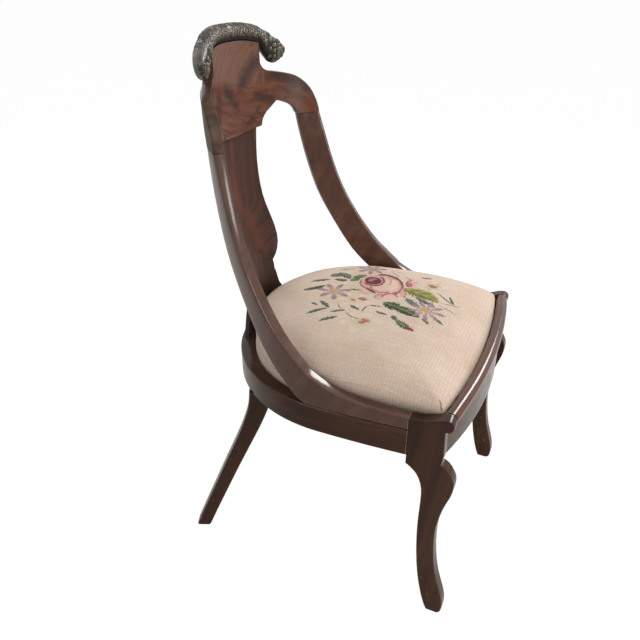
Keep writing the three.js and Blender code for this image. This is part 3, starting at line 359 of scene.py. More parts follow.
def crest_veneer():
    """Crotch veneer on the crest: a leaning flame in the tablet, bands that sweep into the arms."""
    t = Shader("veneer_crest")
    p = t.place()
    drift = t.noise(t.scaled(p, (1.0, 0.3, 1.0)), 16.0, 1.0, 0.5)
    lift = t.noise(t.vector("ADD", t.scaled(p, (1.0, 0.3, 1.0)), (3.1, 0.0, 1.7)), 26.0, 2.0, 0.5)
    x, _, z = t.split(p)
    x = t.plus(x, t.sway(drift, 0.030))
    z = t.plus(z, t.sway(lift, 0.022))
    wide = t.math("ABSOLUTE", x)
    # lower band and arms: lines that sag in the middle and turn down with the arms
    held = t.math("MINIMUM", wide, ARM_START)
    past = t.math("MAXIMUM", t.minus(wide, ARM_START), 0.0)
    arm = t.length(t.join(past, t.minus(z, ARM_TURN), 0.0))
    smile = t.plus(arm, t.times(t.times(held, held), -1.5))
    smile = t.plus(smile, t.times(t.math("MAXIMUM", t.math("MINIMUM", x, ARM_START), -ARM_START), 0.17))
    # tablet: strands that rise and lean over to the right
    rise = t.minus(z, 0.80)
    flame = t.minus(x, t.plus(t.times(rise, 0.45), t.times(t.times(rise, rise), 9.0)))
    edge = t.minus(z, t.times(x, -0.18))
    tablet = t.times(t.grade(edge, 0.795, 0.808), t.grade(x, 0.062, 0.080, 1.0, 0.0))
    rest = t.minus(1.0, tablet)
    line = t.plus(t.times(flame, tablet), t.times(smile, rest))
    other = t.plus(t.times(z, tablet), t.times(x, rest))
    figure, fine = veneer_figure(t, line, other, (90.0, 6.0), (520.0, 18.0), 0.6)
    low = t.ramp(figure, [(0.30, (72, 45, 36)), (0.45, (97, 62, 50)), (0.55, (110, 73, 60)),
                          (0.74, (132, 90, 72))])
    high = t.ramp(figure, [(0.28, (96, 68, 58)), (0.48, (113, 82, 70)), (0.60, (124, 91, 78)),
                           (0.76, (140, 105, 90))])
    colour = t.mix(tablet, low, high)
    for (a, b), warm, mirrored in WARM_PATCHES:
        patch = smudge(t, wide if mirrored else x, z, (a, b), (a + 9, b - 4), 16)
        colour = t.mix(t.times(patch, 0.55), colour, srgb(*warm))
    for start, end, size, dark in DARK_PATCHES:
        colour = t.mix(t.times(smudge(t, x, z, start, end, size), dark), colour, srgb(58, 42, 42))
    shade = smudge(t, wide, z, (96, 806), (122, 797), 13)
    shade = t.math("MAXIMUM", shade, smudge(t, wide, z, (122, 797), (150, 784), 13))
    colour = t.mix(t.times(shade, 0.8), colour, srgb(56, 39, 36))
    smoke = t.noise(t.scaled(p, (1.0, 0.3, 1.6)), 34.0, 3.0, 0.55, 0.4)
    smoke = t.times(t.grade(smoke, 0.55, 0.70), t.minus(0.6, t.times(tablet, 0.35)))
    colour = t.mix(smoke, colour, srgb(50, 36, 33))
    # only the face that looks into the hoop is veneered: the edges and the back are plain dark wood
    inward = t.vector("NORMALIZE", t.vector("MULTIPLY_ADD", p, (-1.0, -1.0, 0.0), (0.0, 0.02, 0.0)))
    facing = t.dot(t.node("ShaderNodeTexCoord").outputs["Normal"], inward)
    plain = t.noise(t.scaled(p, (9.0, 30.0, 60.0)), 1.0, 3.0, 0.6)
    plain = t.ramp(plain, [(0.35, (64, 47, 38)), (0.65, (92, 68, 55))])
    colour = t.mix(t.grade(facing, 0.62, 0.80), plain, colour)
    return t.finish(colour, t.grade(fine, 0.3, 0.7, 0.28, 0.40), t.bump(figure, 0.0004, 0.2),
                    Coat_Weight=0.05, Coat_Roughness=0.2, Specular_IOR_Level=0.12)


def splat_veneer():
    """Dark splat veneer: upright smoky streaks, one of them red, and a feather figure low down."""
    t = Shader("veneer_splat")
    p = t.place()
    sway = t.noise(t.scaled(p, (1.0, 0.4, 0.45)), 18.0, 2.0, 0.5)
    x, _, z = t.split(p)
    x = t.plus(x, t.sway(sway, 0.04))
    spread = t.times(t.math("ABSOLUTE", t.minus(x, 0.006)), 1.9)
    feather = t.times(t.minus(z, spread), t.grade(z, 0.60, 0.50))
    line = t.plus(x, t.times(feather, 0.42))
    figure, fine = veneer_figure(t, line, z, (85.0, 4.0), (430.0, 12.0), 0.66)
    colour = t.ramp(figure, [(0.30, (60, 40, 33)), (0.46, (72, 48, 40)), (0.57, (82, 54, 44)),
                             (0.76, (100, 64, 50))])
    red = t.math("MAXIMUM", smudge(t, x, z, (-19, 716), (-13, 590), 11),
                 smudge(t, x, z, (8, 575), (26, 500), 16))
    colour = t.mix(t.times(red, 0.5), colour, srgb(106, 60, 47))
    smoke = t.noise(t.scaled(p, (1.0, 0.4, 0.3)), 26.0, 2.0, 0.5)
    colour = t.mix(t.grade(smoke, 0.46, 0.64, 0.0, 0.7), colour, srgb(48, 38, 38))
    foot = t.grade(z, 0.49, 0.44, 0.0, 0.7)
    colour = t.mix(foot, colour, srgb(44, 32, 26))
    return t.finish(colour, t.grade(fine, 0.3, 0.7, 0.26, 0.38), t.bump(figure, 0.0004, 0.2),
                    Coat_Weight=0.12, Coat_Roughness=0.16, Specular_IOR_Level=0.14)


def plain_wood(name, along):
    """Unpolished beech of the hidden members."""
    t = Shader(name)
    g = grain_frame(t, along)
    bands = t.noise(t.scaled(g, (5.0, 60.0, 60.0)), 1.0, 3.0, 0.6, 0.3)
    flecks = t.grade(t.noise(t.scaled(g, (160.0, 900.0, 900.0)), 1.0, 2.0), 0.6, 0.7)
    colour = t.ramp(bands, [(0.3, (150, 112, 72)), (0.55, (184, 146, 100)), (0.75, (200, 166, 120))])
    colour = t.mix(t.times(flecks, 0.5), colour, srgb(118, 82, 52))
    return t.finish(colour, t.grade(bands, 0.3, 0.7, 0.6, 0.78), t.bump(bands, 0.0006, 0.4),
                    Specular_IOR_Level=0.3)


def woven(name, pitch, low, high):
    """Plain-woven jute: threads over and under in both directions."""
    t = Shader(name)
    p = t.place()
    x, y, _ = t.split(p)
    turn = math.pi / pitch
    a = t.math("SINE", t.times(x, turn))
    b = t.math("SINE", t.times(y, turn))
    over = t.times(a, b)
    ridge = t.math("MAXIMUM", t.math("ABSOLUTE", a), t.math("ABSOLUTE", b))
    fuzz = t.noise(p, 900.0, 3.0, 0.6)
    shade = t.plus(t.times(over, 0.25), t.times(fuzz, 0.9))
    colour = t.ramp(shade, [(0.2, low), (0.75, high)])
    normal = t.bump(t.plus(ridge, t.times(over, 0.5)), 0.0008, 0.7)
    return t.finish(colour, t.grade(fuzz, 0.3, 0.7, 0.86, 0.97), normal, Specular_IOR_Level=0.2)


def steel():
    """Old bright-steel screws, slightly rusted."""
    t = Shader("screw_steel")
    spots = t.noise(t.place(), 420.0, 4.0, 0.6)
    colour = t.ramp(spots, [(0.35, (130, 126, 120)), (0.6, (96, 88, 78)), (0.75, (92, 58, 38))])
    return t.finish(colour, t.grade(spots, 0.35, 0.7, 0.32, 0.6), t.bump(spots, 0.0002, 0.5), Metallic=0.85)


# the welding distance for split corners, and the angle from which an edge stays sharp
WELD, SHARP_ANGLE = 2e-5, math.radians(34)


def soft_shading():
    """Welds a CAD mesh's split corners and shades its rounded edges smoothly."""
    t, start, end = node_group("soft_shading", [("Geometry", "Geometry")], ["Geometry"], "Geometry",
                               "GeometryNodeTree")
    angle = t.node("GeometryNodeInputMeshEdgeAngle").outputs["Unsigned Angle"]
    sharp = t.math("GREATER_THAN", angle, SHARP_ANGLE)
    smooth = "GeometryNodeSetShadeSmooth"
    flow = t.feed(t.node("GeometryNodeRemoveAttribute"), Geometry=start[0], Name="custom_normal")[0]
    flow = t.feed(t.node("GeometryNodeMergeByDistance"), Geometry=flow, Distance=WELD)[0]
    for domain in ("FACE", "EDGE"):
        flow = t.feed(t.node(smooth, domain=domain), Geometry=flow)[0]
    flow = t.feed(t.node(smooth, domain="EDGE"), Geometry=flow, Selection=sharp, Shade_Smooth=False)[0]
    t.put(flow, end[0])
    return t.tree


smoothing = soft_shading()


def dress(name, material):
    """A CAD node keeps its mesh and gets a material and smooth shading."""
    piece = cad[name]
    piece.data.materials.clear()
    piece.data.materials.append(material)
    tuned(piece.modifiers.new("soft_shading", "NODES"), node_group=smoothing)
    tuned(piece.modifiers.new("flat_faces", "WEIGHTED_NORMAL"), keep_sharp=True, weight=80)


# the pale joint line across rails and stiles at the front legs
SEAM_WIDTH = 0.0009
seams = [(1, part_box("rail_side_left")[0].y, SEAM_WIDTH)]
for side, out in (("left", -1), ("right", 1)):
    dress(f"rail_side_{side}", mahogany(f"mahogany_rail_{side}", (0.12 * out, 1, 0), seams))
    dress(f"stile_{side}", mahogany(f"mahogany_stile_{side}", (0.1 * out, -0.52, 0.85), seams, "brown"))
    dress(f"leg_front_{side}", mahogany(f"mahogany_leg_front_{side}", (0, -0.12, 1)))
    dress(f"leg_rear_{side}", mahogany(f"mahogany_leg_rear_{side}", (0.2 * out, 0.3, -1)))
    for node in (f"block_rear_{side}", f"block_front_{side}", f"rest_{side}", f"seat_frame_{side}"):
        dress(node, plain_wood(f"beech_{node}", (0, 1, 0)))
dress("rail_rear", mahogany("mahogany_rail_rear", (1, 0, 0)))
dress("rail_front", mahogany("mahogany_rail_front", (1, 0, 0)))
dress("front_roll", mahogany("mahogany_front_roll", (1, 0, 0), tone="red"))
dress("crest_rail", crest_veneer())
dress("splat", splat_veneer())
for node in ("rest_rear", "rest_front", "seat_frame_rear", "seat_frame_front"):
    dress(node, plain_wood(f"beech_{node}", (1, 0, 0)))
metal = steel()
for node in cad:
    if node.startswith("screw"):
        dress(node, metal)
web = woven("web_jute", 0.0022, (112, 88, 56), (172, 144, 100))
for node in cad:
    if node.startswith("web_"):
        dress(node, web)
dress("seat_hessian", woven("hessian_jute", 0.0028, (120, 94, 60), (190, 162, 118)))


# ---------------------------------------------------------------- carved roll on the crest
def smooth_line(points):
    """The part source's smooth line through [place, value] points."""
    n = len(points)
    slope = []
    for i in range(n):
        a, b = points[max(i - 1, 0)], points[min(i + 1, n - 1)]
        slope.append((b[1] - a[1]) / (b[0] - a[0]))

    def read(x):
        if x <= points[0][0]:
            return points[0][1]
        if x >= points[-1][0]:
            return points[-1][1]
        i = 0
        while x > points[i + 1][0]:
            i += 1
        w = points[i + 1][0] - points[i][0]
        s = (x - points[i][0]) / w
        return (points[i][1] * (2 * s**3 - 3 * s**2 + 1) + slope[i] * w * (s**3 - 2 * s**2 + s)
                + points[i + 1][1] * (3 * s**2 - 2 * s**3) + slope[i + 1] * w * (s**3 - s**2))

    return read


# the part source's own sizes: the hoop and its lean, the roll and its drooping ends
HOOP, BACK_LEAN, HEEL, BACK_TOP = 0.232, 0.046, 0.440, 0.8935
ROLL_HEIGHT, ROLL_UP, ROLL_DEEP, ROLL_INSET = 0.878, 0.0155, 0.013, 0.013
ROLL_DROOP, ROLL_END = 0.008, 21.0
KNOB_UP, KNOB_DEEP, KNOB_INSET, KNOB_DROOP, KNOB_END = 0.024, 0.0135, 0.010, 0.026, 35.6
LEAST_RADIUS = 0.0004
lean_share = smooth_line([(0, 0), (0.06, 0.07), (0.13, 0.2), (0.31, 0.565), (0.49, 0.8),
                          (0.66, 0.925), (0.84, 0.985), (1, 1)])
knob_share = smooth_line([(0, 1), (0.3, 1.02), (0.5, 0.97), (0.68, 0.85), (0.84, 0.62),
                          (0.95, 0.36), (1, 0.12)])


def roll_point(angle, turn, side, drawn):
    """A point of the roll's envelope, drawn in by a length. Turn 0 is up and 90 degrees is forward."""
    past = max(0.0, angle - ROLL_END) / (KNOB_END - ROLL_END)
    centre = ROLL_HEIGHT - ROLL_DROOP * (min(angle, ROLL_END) / ROLL_END) ** 3
    centre -= KNOB_DROOP * math.sin(min(1.0, past / 0.78) * math.pi / 2)
    grown, taper = min(1.0, past / 0.4), knob_share(past)
    high = max((ROLL_UP + (KNOB_UP - ROLL_UP) * grown) * taper - drawn, LEAST_RADIUS)
    deep = max((ROLL_DEEP + (KNOB_DEEP - ROLL_DEEP) * grown) * taper - drawn, LEAST_RADIUS)
    inset = ROLL_INSET + (KNOB_INSET - ROLL_INSET) * grown
    r = HOOP - inset - deep * math.sin(turn)
    a = math.radians(angle)
    back = BACK_LEAN * lean_share((centre - HEEL) / (BACK_TOP - HEEL))
    return Vector((side * r * math.sin(a), back + r * math.cos(a), centre + high * math.cos(turn)))


def wobble(a, b, seed):
    """A smooth made-up unevenness between -1 and 1."""
    return (math.sin(a * 1.7 + seed) * math.cos(b * 1.3 + seed * 2.1)
            + 0.6 * math.sin(a * 3.1 + b * 2.2 + seed * 0.7)
            + 0.4 * math.cos(a * 5.3 - b * 3.7 + seed)) / 2.0


# millimetres: the roll's radius in plan and across, a lock, a strand in it and a short curl
ROLL_RADIUS, ROLL_THICK, LOCK, STRAND, CURL = 219.0, 14.5, 15.0, 3.1, 4.3
# turns at which the curls stand and from which the underside is painted dark as shade
BROW_TURN, UNDER_TURN = 1.36, 1.80


def carved_height(angle, turn, side):
    """Depth of the carving from 0, a ridge top, to 1, a groove's bottom: locks that sweep from
    back to front away from the middle, each made of finer strands. The value also colours
    the carving: the curl tops go below 0 for a painted highlight, and the underside is set
    deep for painted shade under the roll."""
    along = math.radians(angle) * ROLL_RADIUS
    around = turn * ROLL_THICK
    seed = 1.3 if side > 0 else 4.1
    sweep = along * 0.80 - around * 0.62
    warp = 3.6 * wobble(along / 24.0, turn * 1.1, seed)
    lock = (sweep + warp) / LOCK
    number = math.floor(lock)
    share = lock - number
    edge = min(share, 1.0 - share) * LOCK
    fold = math.exp(-((edge / 1.1) ** 2))
    hollow = (2.0 * abs(share - 0.5)) ** 2
    bend = 1.5 * wobble(along / 8.0, turn * 2.3, seed + 3.0 + number)
    strand = (sweep + warp * 1.7 + bend + 1.3 * number) / STRAND
    ridge = abs(math.sin(math.pi * strand)) ** 0.7
    finer = strand * 2.0 + 0.25 + 0.4 * wobble(along / 5.0, turn * 4.0, seed + 2)
    fine = abs(math.sin(math.pi * finer))
    # short curling ridges along the front, their tops painted bright as a highlight, above the hollow under
    # the roll, painted dark as shade
    curl = along + around * 0.5 + 2.6 * wobble(along / 5.0, turn * 3.0, seed)
    hatch = abs(math.sin(math.pi * curl / CURL)) ** 0.7
    brow = math.exp(-(((turn - BROW_TURN - 0.12 * wobble(along / 6.0, 0.0, seed + 5)) / 0.30) ** 2))
    plain = 0.68 * (1 - ridge) + 0.20 * (1 - fine) + 0.26 * fold + 0.12 * hollow
    # painted shade under the roll: the value is set deep there, which darkens the colour
    under = clamped((turn - UNDER_TURN) / 0.30)
    h = plain * (1 - brow) + (1.1 * (1 - hatch) - 0.12) * brow
    return h * (1 - under) + (0.75 + 0.25 * plain) * under


def mesh_piece(name, points, faces, material, smooth=True):
    """A new mesh object with one material."""
    data = bpy.data.meshes.new(name)
    data.from_pydata([tuple(p) for p in points], [], faces)
    data.update()
    piece = placed(name, data)
    data.materials.append(material)
    if smooth:
        data.polygons.foreach_set("use_smooth", [True] * len(data.polygons))
    return piece


def ring_faces(rings, around, first=0, closed=False):
    """Four-sided faces between rings of points that follow each other."""
    faces = []
    for i in range(rings if closed else rings - 1):
        low, high = first + i * around, first + (i + 1) % rings * around
        for k in range(around):
            n = (k + 1) % around
            faces.append((low + k, low + n, high + n, high + k))
    return faces


def put_layer(data, name, values):
    """Keeps a number, or a row of three, at each point of a mesh."""
    values = np.array(values, np.float32)
    sort, key = ("FLOAT", "value") if values.ndim == 1 else ("FLOAT_VECTOR", "vector")
    data.attributes.new(name, sort, "POINT").data.foreach_set(key, values.ravel())


def carved_wood():
    """Carved, waxed wood: painted highlights on the curl tops, greyish tops that are partly painted sheen,
    and painted shade nearly black in the grooves.
    """
    t = Shader("carved_mahogany")
    deep = t.node("ShaderNodeAttribute", attribute_name="carve_and_painted_light").outputs["Fac"]
    p = t.place()
    patch = t.noise(p, 60.0, 3.0, 0.6)
    grain = t.noise(t.scaled(p, (30.0, 300.0, 300.0)), 1.0, 3.0, 0.6)
    # the tops' greyish brown: partly the wood's own colour, partly painted sheen
    top = t.ramp(t.plus(t.times(patch, 0.6), t.times(grain, 0.4)),
                 [(0.35, (74, 66, 58)), (0.5, (94, 86, 77)), (0.68, (118, 108, 97))])
    # painted highlight: cream where the value falls below 0, on the curl tops
    colour = t.mix(t.grade(deep, 0.05, -0.10), top, srgb(176, 160, 136))
    # painted shade: darker as the value grows, nearly black in the grooves, behind and beside the berries
    # and under the roll
    colour = t.mix(t.grade(deep, 0.10, 0.50), colour, srgb(26, 20, 16))
    rough = t.grade(deep, 0.0, 0.5, 0.3, 0.6)
    return t.finish(colour, rough, t.bump(grain, 0.0004, 0.4), Coat_Weight=0.2, Coat_Roughness=0.15,
                    Specular_IOR_Level=0.3)


def front_share(signed, side):
    """1 on the face that looks forward, fading to 0 over the top and under the roll. The left
    end's top stays free of berries for longer."""
    start = 0.15 if side > 0 else 0.85
    return clamped((signed - start) / 0.35) * clamped((3.05 - signed) / 0.3)


CARVE_DEPTH = 0.0019
# rows of berries along an end: place in the end, number and size
BERRY_ROWS = ((0.40, 4, 0.0050), (0.57, 5, 0.0062), (0.74, 5, 0.0064), (0.88, 5, 0.0056), (0.97, 4, 0.0046))
BERRY_RINGS, BERRY_SPOKES = 10, 16


def add_berry(points, depth_and_painted_light, faces, centre, out, r):
    """One berry of radius r, with painted shade from its bright top, which looks out, to its dark sides."""
    base = len(points)
    for i in range(BERRY_RINGS + 1):
        v = math.pi * i / BERRY_RINGS
        for j in range(BERRY_SPOKES):
            w = 2 * math.pi * j / BERRY_SPOKES
            d = Vector((math.sin(v) * math.cos(w), math.sin(v) * math.sin(w), math.cos(v)))
            dent = math.exp(-((v - 0.5) / 0.3) ** 2) * 0.10
            points.append(centre + d * r * (1 - dent))
            # painted shade: the berry's colour darkens away from the side that looks out
            depth_and_painted_light.append(0.62 - 0.62 * max(0.0, d.dot(out)) + dent)
    faces += [(a, d, c, b) for a, b, c, d in ring_faces(BERRY_RINGS + 1, BERRY_SPOKES, base)]


def crest_carving():
    """The roll: locks that sweep from the middle to both ends, smooth flutes on the left end's
    top, and berries in front of each end."""
    points, depth_and_painted_light, columns = [], [], []
    steps, around = 215, 132
    for side in (-1, 1):
        half = [(KNOB_END * (i / steps), side) for i in range(steps + 1)]
        columns += half[:0:-1] if side < 0 else half
    for angle, side in columns:
        past = max(0.0, angle - ROLL_END) / (KNOB_END - ROLL_END)
        for k in range(around):
            turn = 2 * math.pi * k / around
            signed = turn if turn < math.pi else turn - 2 * math.pi
            seam = min(1.0, (math.pi - abs(signed)) / 0.5)
            h = carved_height(angle, signed, side) * seam
            if side < 0 and signed < 0.9:
                h *= 1.0 - 0.6 * clamped((past - 0.2) / 0.4)
            if signed < 1.0:
                # a plain ridge in the middle, from which the locks part
                keel = math.exp(-((angle * 3.8 / 2.6) ** 2))
                h = h * (1 - keel) + 0.1 * keel
            on_knob = clamped((past - 0.26) / 0.16) * front_share(signed, side)
            tip = clamped((past - 0.93) / 0.06) if side > 0 else 0.0
            on_knob = max(on_knob, tip)
            # painted shade behind the berries: the surface there is drawn in and coloured dark
            h = h * (1 - on_knob) + 1.3 * on_knob
            points.append(roll_point(angle, turn, side, CARVE_DEPTH * max(h, 0.0)))
            depth_and_painted_light.append(min(1.0, h))
    rows = len(columns)
    faces = ring_faces(rows, around)
    for row in (0, rows - 1):
        ring = [row * around + k for k in range(around)]
        faces.append(tuple(ring if row else reversed(ring)))
    for side in (-1, 1):
        for number, (past, count, size) in enumerate(BERRY_ROWS):
            angle = ROLL_END + (KNOB_END - ROLL_END) * past
            for k in range(count):
                turn = 0.42 + 2.25 * (k + 0.5 * (number % 2)) / (count - 0.5)
                if side < 0 and turn < 1.1:
                    continue
                centre = roll_point(angle, turn, side, size * 0.80)
                out = (centre - roll_point(angle, turn, side, size * 1.6)).normalized()
                r = size * (0.93 + 0.16 * wobble(k * 2.1, number * 1.7, side))
                add_berry(points, depth_and_painted_light, faces, centre, out, r)
    piece = mesh_piece("crest_carving", points, faces, carved_wood())
    put_layer(piece.data, "carve_and_painted_light", depth_and_painted_light)
    return piece


carving = crest_carving()
# the roll was made round the hoop's centre: it goes where its CAD node is, a hair inside
INSIDE = 0.0002
own_back = max(v.co.y for v in carving.data.vertices)
carving.data.transform(Matrix.Translation((0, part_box("crest_roll")[1].y - own_back - INSIDE, 0)))
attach(carving, "chair_frame")
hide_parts("crest_roll")


# ---------------------------------------------------------------- needlepoint cushion
STITCH = 0.0020


def leaf_group():
    """Mask of a pointed leaf from A to B, with the places along and across it."""
    t, start, end = node_group("leaf", [("P", "Vector"), ("A", "Vector"), ("B", "Vector"),
                                        ("Width", "Float"), ("Bow", "Float")], ("Mask", "Along", "Across"))
    p, a, b, width, bow = start[:5]
    d = t.vector("SUBTRACT", b, a)
    q = t.vector("SUBTRACT", p, a)
    length = t.length(d)
    square = t.times(length, length)
    s = t.math("DIVIDE", t.dot(q, d), square)
    across = t.math("DIVIDE", t.split(t.vector("CROSS_PRODUCT", d, q))[2], length)
    hump = t.times(t.times(s, t.minus(1.0, s)), 4.0)
    inside = t.math("MAXIMUM", hump, 0.0)
    across = t.minus(across, t.times(hump, bow))
    half = t.times(t.math("POWER", inside, 0.8), t.times(width, 0.5))
    ragged = t.grade(t.noise(p, 330.0, 1.0), 0.25, 0.75, 0.62, 1.2)
    half = t.times(half, ragged)
    room = t.minus(half, t.math("ABSOLUTE", across))
    t.put(t.grade(room, -0.0002, 0.0005), end[0])
    t.put(s, end[1])
    t.put(t.math("DIVIDE", across, t.math("MAXIMUM", half, 0.0002)), end[2])
    return t.tree


def daisy_group():
    """Mask of a flower with slim petals, with its radius share and the place in a petal."""
    t, start, end = node_group("daisy", [("P", "Vector"), ("Centre", "Vector"), ("Radius", "Float"),
                                         ("Petals", "Float"), ("Turn", "Float"), ("Waist", "Float")],
                               ("Mask", "Radius", "Petal"))
    p, centre, radius, petals, turn, waist = start[:6]
    d = t.vector("SUBTRACT", p, centre)
    r = t.math("DIVIDE", t.length(d), radius)
    dx, dy, _ = t.split(d)
    angle = t.plus(t.times(t.math("ARCTAN2", dy, dx), t.times(petals, 0.5)), turn)
    petal = t.math("ABSOLUTE", t.math("COSINE", angle))
    ragged = t.sway(t.noise(p, 210.0, 1.0), 0.45)
    edge = t.plus(waist, t.times(t.math("POWER", petal, 1.5), t.minus(1.0, waist)))
    t.put(t.grade(t.minus(t.plus(edge, ragged), r), -0.01, 0.03), end[0])
    t.put(r, end[1])
    t.put(petal, end[2])
    return t.tree


def petal_group():
    """Size share and side share of a rose petal: an ellipse with any two half axes."""
    takes = [(name, "Vector") for name in ("P", "Centre", "Along", "Across", "Side")]
    t, start, end = node_group("petal", takes, ("Reach", "Side"))
    p, centre, along, across, side = start[:5]
    q = t.vector("SUBTRACT", p, centre)
    w = t.join(t.dot(q, along), t.dot(q, across), 0.0)
    r = t.length(w)
    uneven = t.sway(t.noise(p, 120.0, 1.0), 0.16)
    t.put(t.plus(r, uneven), end[0])
    t.put(t.math("DIVIDE", t.dot(w, side), t.math("MAXIMUM", r, 0.01)), end[1])
    return t.tree


# the rose, from the petals behind to its heart: centre and two half axes (millimetres on the seat),
# colour, blush and edge colours, the way that the edge faces (degrees) and how far round it goes
PETALS = [
    ((36, -3), (-2, -14), (-13, -3), (222, 186, 170), (214, 170, 158), (206, 150, 142), 120, 0.4),
    ((73, -21), (5, -41), (-42, -12), (224, 180, 166), (208, 146, 146), (122, 64, 74), -35, -0.35),
    ((92, -27), (-5, -32), (-30, -7), (216, 160, 154), (206, 140, 142), (98, 42, 54), -50, -0.1),
    ((89, -36), (-10, -26), (-26, -4), (226, 178, 168), (214, 152, 150), (108, 48, 60), -45, 0.1),
    ((66, 7), (-1, -15), (-20, -6), (220, 166, 156), (210, 148, 146), (146, 88, 92), 150, 0.1),
    ((74, -44), (2, -17), (-28, -7), (236, 204, 188), (224, 162, 158), (180, 114, 116), 15, 0.2),
    ((87, -25), (14, -6), (-17, -9), (232, 200, 182), (226, 184, 168), (200, 150, 140), 0, 0.3),
    ((55, -23), (-1, -20), (-15, -4), (230, 194, 174), (220, 170, 156), (160, 98, 102), 100, -0.1),
    ((23, -33), (4, -8), (-11, -4), (228, 178, 166), (218, 158, 152), (132, 72, 78), -120, -0.1),
    ((31, -51), (6, -14), (-15, -5), (232, 194, 176), (226, 168, 158), (120, 62, 72), -90, -0.1),
    ((53, -69), (-5, -8), (-13, -1), (226, 166, 162), (214, 146, 148), (138, 74, 84), -20, 0.0),
    ((98, -70), (2, -10), (-16, -4), (230, 174, 166), (220, 152, 150), (140, 72, 82), 190, 0.1),
    ((95, -68), (2, -5), (-9, -3), (196, 118, 120), (184, 104, 110), (120, 54, 66), 90, 0.0),
    ((42, -10), (-7, -12), (-4, 0), (122, 72, 70), (110, 60, 60), (104, 56, 58), 0, 0.9),
    ((85, -1), (6, -21), (-24, -8), (222, 174, 164), (212, 154, 152), (126, 62, 72), 50, -0.3),
    ((83, 0), (4, -16), (-16, -5), (118, 52, 66), (104, 44, 56), (82, 32, 44), 90, -0.9),
    ((87, 3), (6, -7), (-6, -3), (182, 124, 128), (160, 98, 106), (110, 50, 62), -90, 0.2),
    ((85, -7), (3, -6), (-7, -2), (98, 36, 48), (90, 30, 42), (150, 88, 96), -60, 0.3),
]

# wool colours: the shaded side and the lit side
GREEN, DARK_GREEN = ((62, 84, 52), (118, 138, 84)), ((44, 58, 34), (96, 116, 62))
TEAL, LIME = ((66, 84, 74), (126, 142, 122)), ((112, 112, 40), (176, 170, 88))
BROWN, CREAM = ((84, 66, 46), (122, 112, 72)), ((190, 178, 130), (226, 214, 178))
TWIG = ((104, 98, 66), (128, 124, 84))
PALE_LILAC, LILAC, DUSK, YOLK = (184, 160, 160), (146, 121, 128), (106, 82, 92), (206, 162, 84)

# leaves and stems of the bunch: from, to, width, bow (millimetres on the seat), colours
LEAVES = [
    ((35.5, 110.4), (55.4, 76.0), 11, 1.5, TEAL), ((-6.5, 106.5), (28.4, 73.6), 15, -2, BROWN),
    ((2, 98), (24, 78), 9, 0, DARK_GREEN), ((70, 84), (88, 60), 20, 0, TEAL),
    ((92, 74), (73, 42), 20, 2, TEAL), ((58, 70), (64, 44), 13, 0, GREEN),
    ((64, 40), (86, 26), 14, 0, GREEN), ((80, 42), (104, 20), 16, -2, GREEN),
    ((106.5, 81.4), (129.6, 51.3), 5, 0.5, GREEN), ((74, -62), (50, -137), 36, 4, LIME),
    ((40, -78), (16, -110), 15, -1.5, TEAL), ((52, -92), (28, -138), 11, -2, TEAL),
    ((5.6, -46), (-8, -84), 30, 4, DARK_GREEN), ((2, -62), (-21, -121), 27, 3, DARK_GREEN),
    ((-30.0, -45.1), (-35.0, -68.7), 8, 0, TEAL), ((-87.9, 62.9), (-50.4, 34.5), 9.5, 1, TEAL),
    ((-31.6, 58.2), (-49, 34), 12, -1, TEAL), ((-45.9, 70.8), (-49.3, 55), 7, 0, TEAL),
    ((-101.4, 32.0), (-72.5, 7.1), 10, 1, TEAL), ((-64.1, 27.1), (-47, 4), 8, 0.5, TEAL),
    ((31.2, 27), (36.0, 7), 7, 0, GREEN), ((-27, 4), (-37, -18), 9, 0, TEAL),
    ((-44.5, -25.1), (-13.8, -28), 4, 3, TEAL), ((-13.8, -26.3), (-10.8, -51), 5, 1, TEAL),
    ((-26.9, 25.4), (-48.2, 3.4), 2.6, -5, TWIG), ((-48.2, 3.4), (-66, -34), 3.0, -7, TEAL),
    ((-31, -76), (-47, -90), 11, 0, TEAL), ((-42, -86), (-68, -121), 17, -1.5, GREEN),
    ((-18.8, -125.7), (-31.2, -141.0), 9, 0, GREEN), ((-4.8, -140.1), (-16.5, -162.7), 8, 0.5, TEAL),
    ((84.8, -121.9), (57.0, -162), 4, 1, TEAL), ((85.2, -148.2), (60.4, -162.1), 7, 0, TEAL),
    ((49.5, -135.8), (67.2, -176), 2.6, -1, TWIG), ((41.9, -134.9), (31.5, -176), 2.6, 1, TWIG),
    ((149.2, -13.0), (139, -48), 3, 2, TWIG), ((142, -18), (124, -42), 3, -2, TWIG),
    ((128, -50), (106, -84), 3, -3, TWIG), ((118, -96), (96, -122), 6, 2, CREAM),
    ((104, -100), (84, -112), 6, -1, CREAM), ((124, -112), (104, -128), 6, 0, CREAM),
]


# lilies almost in the ground's own tone: centre, radius (millimetres), petals, turn and waist
LILIES = [((-76, -37), 37, 6, 0.4, 0.10), ((-6, 6), 27, 6, 1.1, 0.10), ((104, -108), 24, 5, 0.2, 0.10)]
LILY_LOOKS = ((210, 196, 162), (226, 212, 190), (196, 178, 142), (184, 112, 100))
DAISIES = [((12, 50), 33, 7, 0.3, 0.2, 0.22), ((138, 22), 30, 7, 0.9, 0.2, 0.22),
           ((10, -124), 34, 9, 0.5, 0.16, 0.18)]
# buds: from, to, width (millimetres) and colours
BUDS = [((-58, -108), (-70, -126), 10, ((120, 34, 38), (196, 92, 88))),
        ((137, -78), (140, -101), 10, ((150, 58, 70), (206, 130, 130))),
        ((108, -101), (104, -120), 15, ((158, 74, 84), (218, 150, 148))),
        ((4, 0), (4, -18), 15, ((160, 84, 84), (220, 160, 150))),
        ((-64, -32), (-70, -50), 13, ((164, 96, 84), (222, 164, 146)))]
# the shadow in the pleat at a front corner, and the pitch of the ribs across the seat
PLEAT_SHADOW = ((138, 114, 98), (166, 142, 124))
RIB_PITCH = 0.0052
VEINED_WIDTH = 14


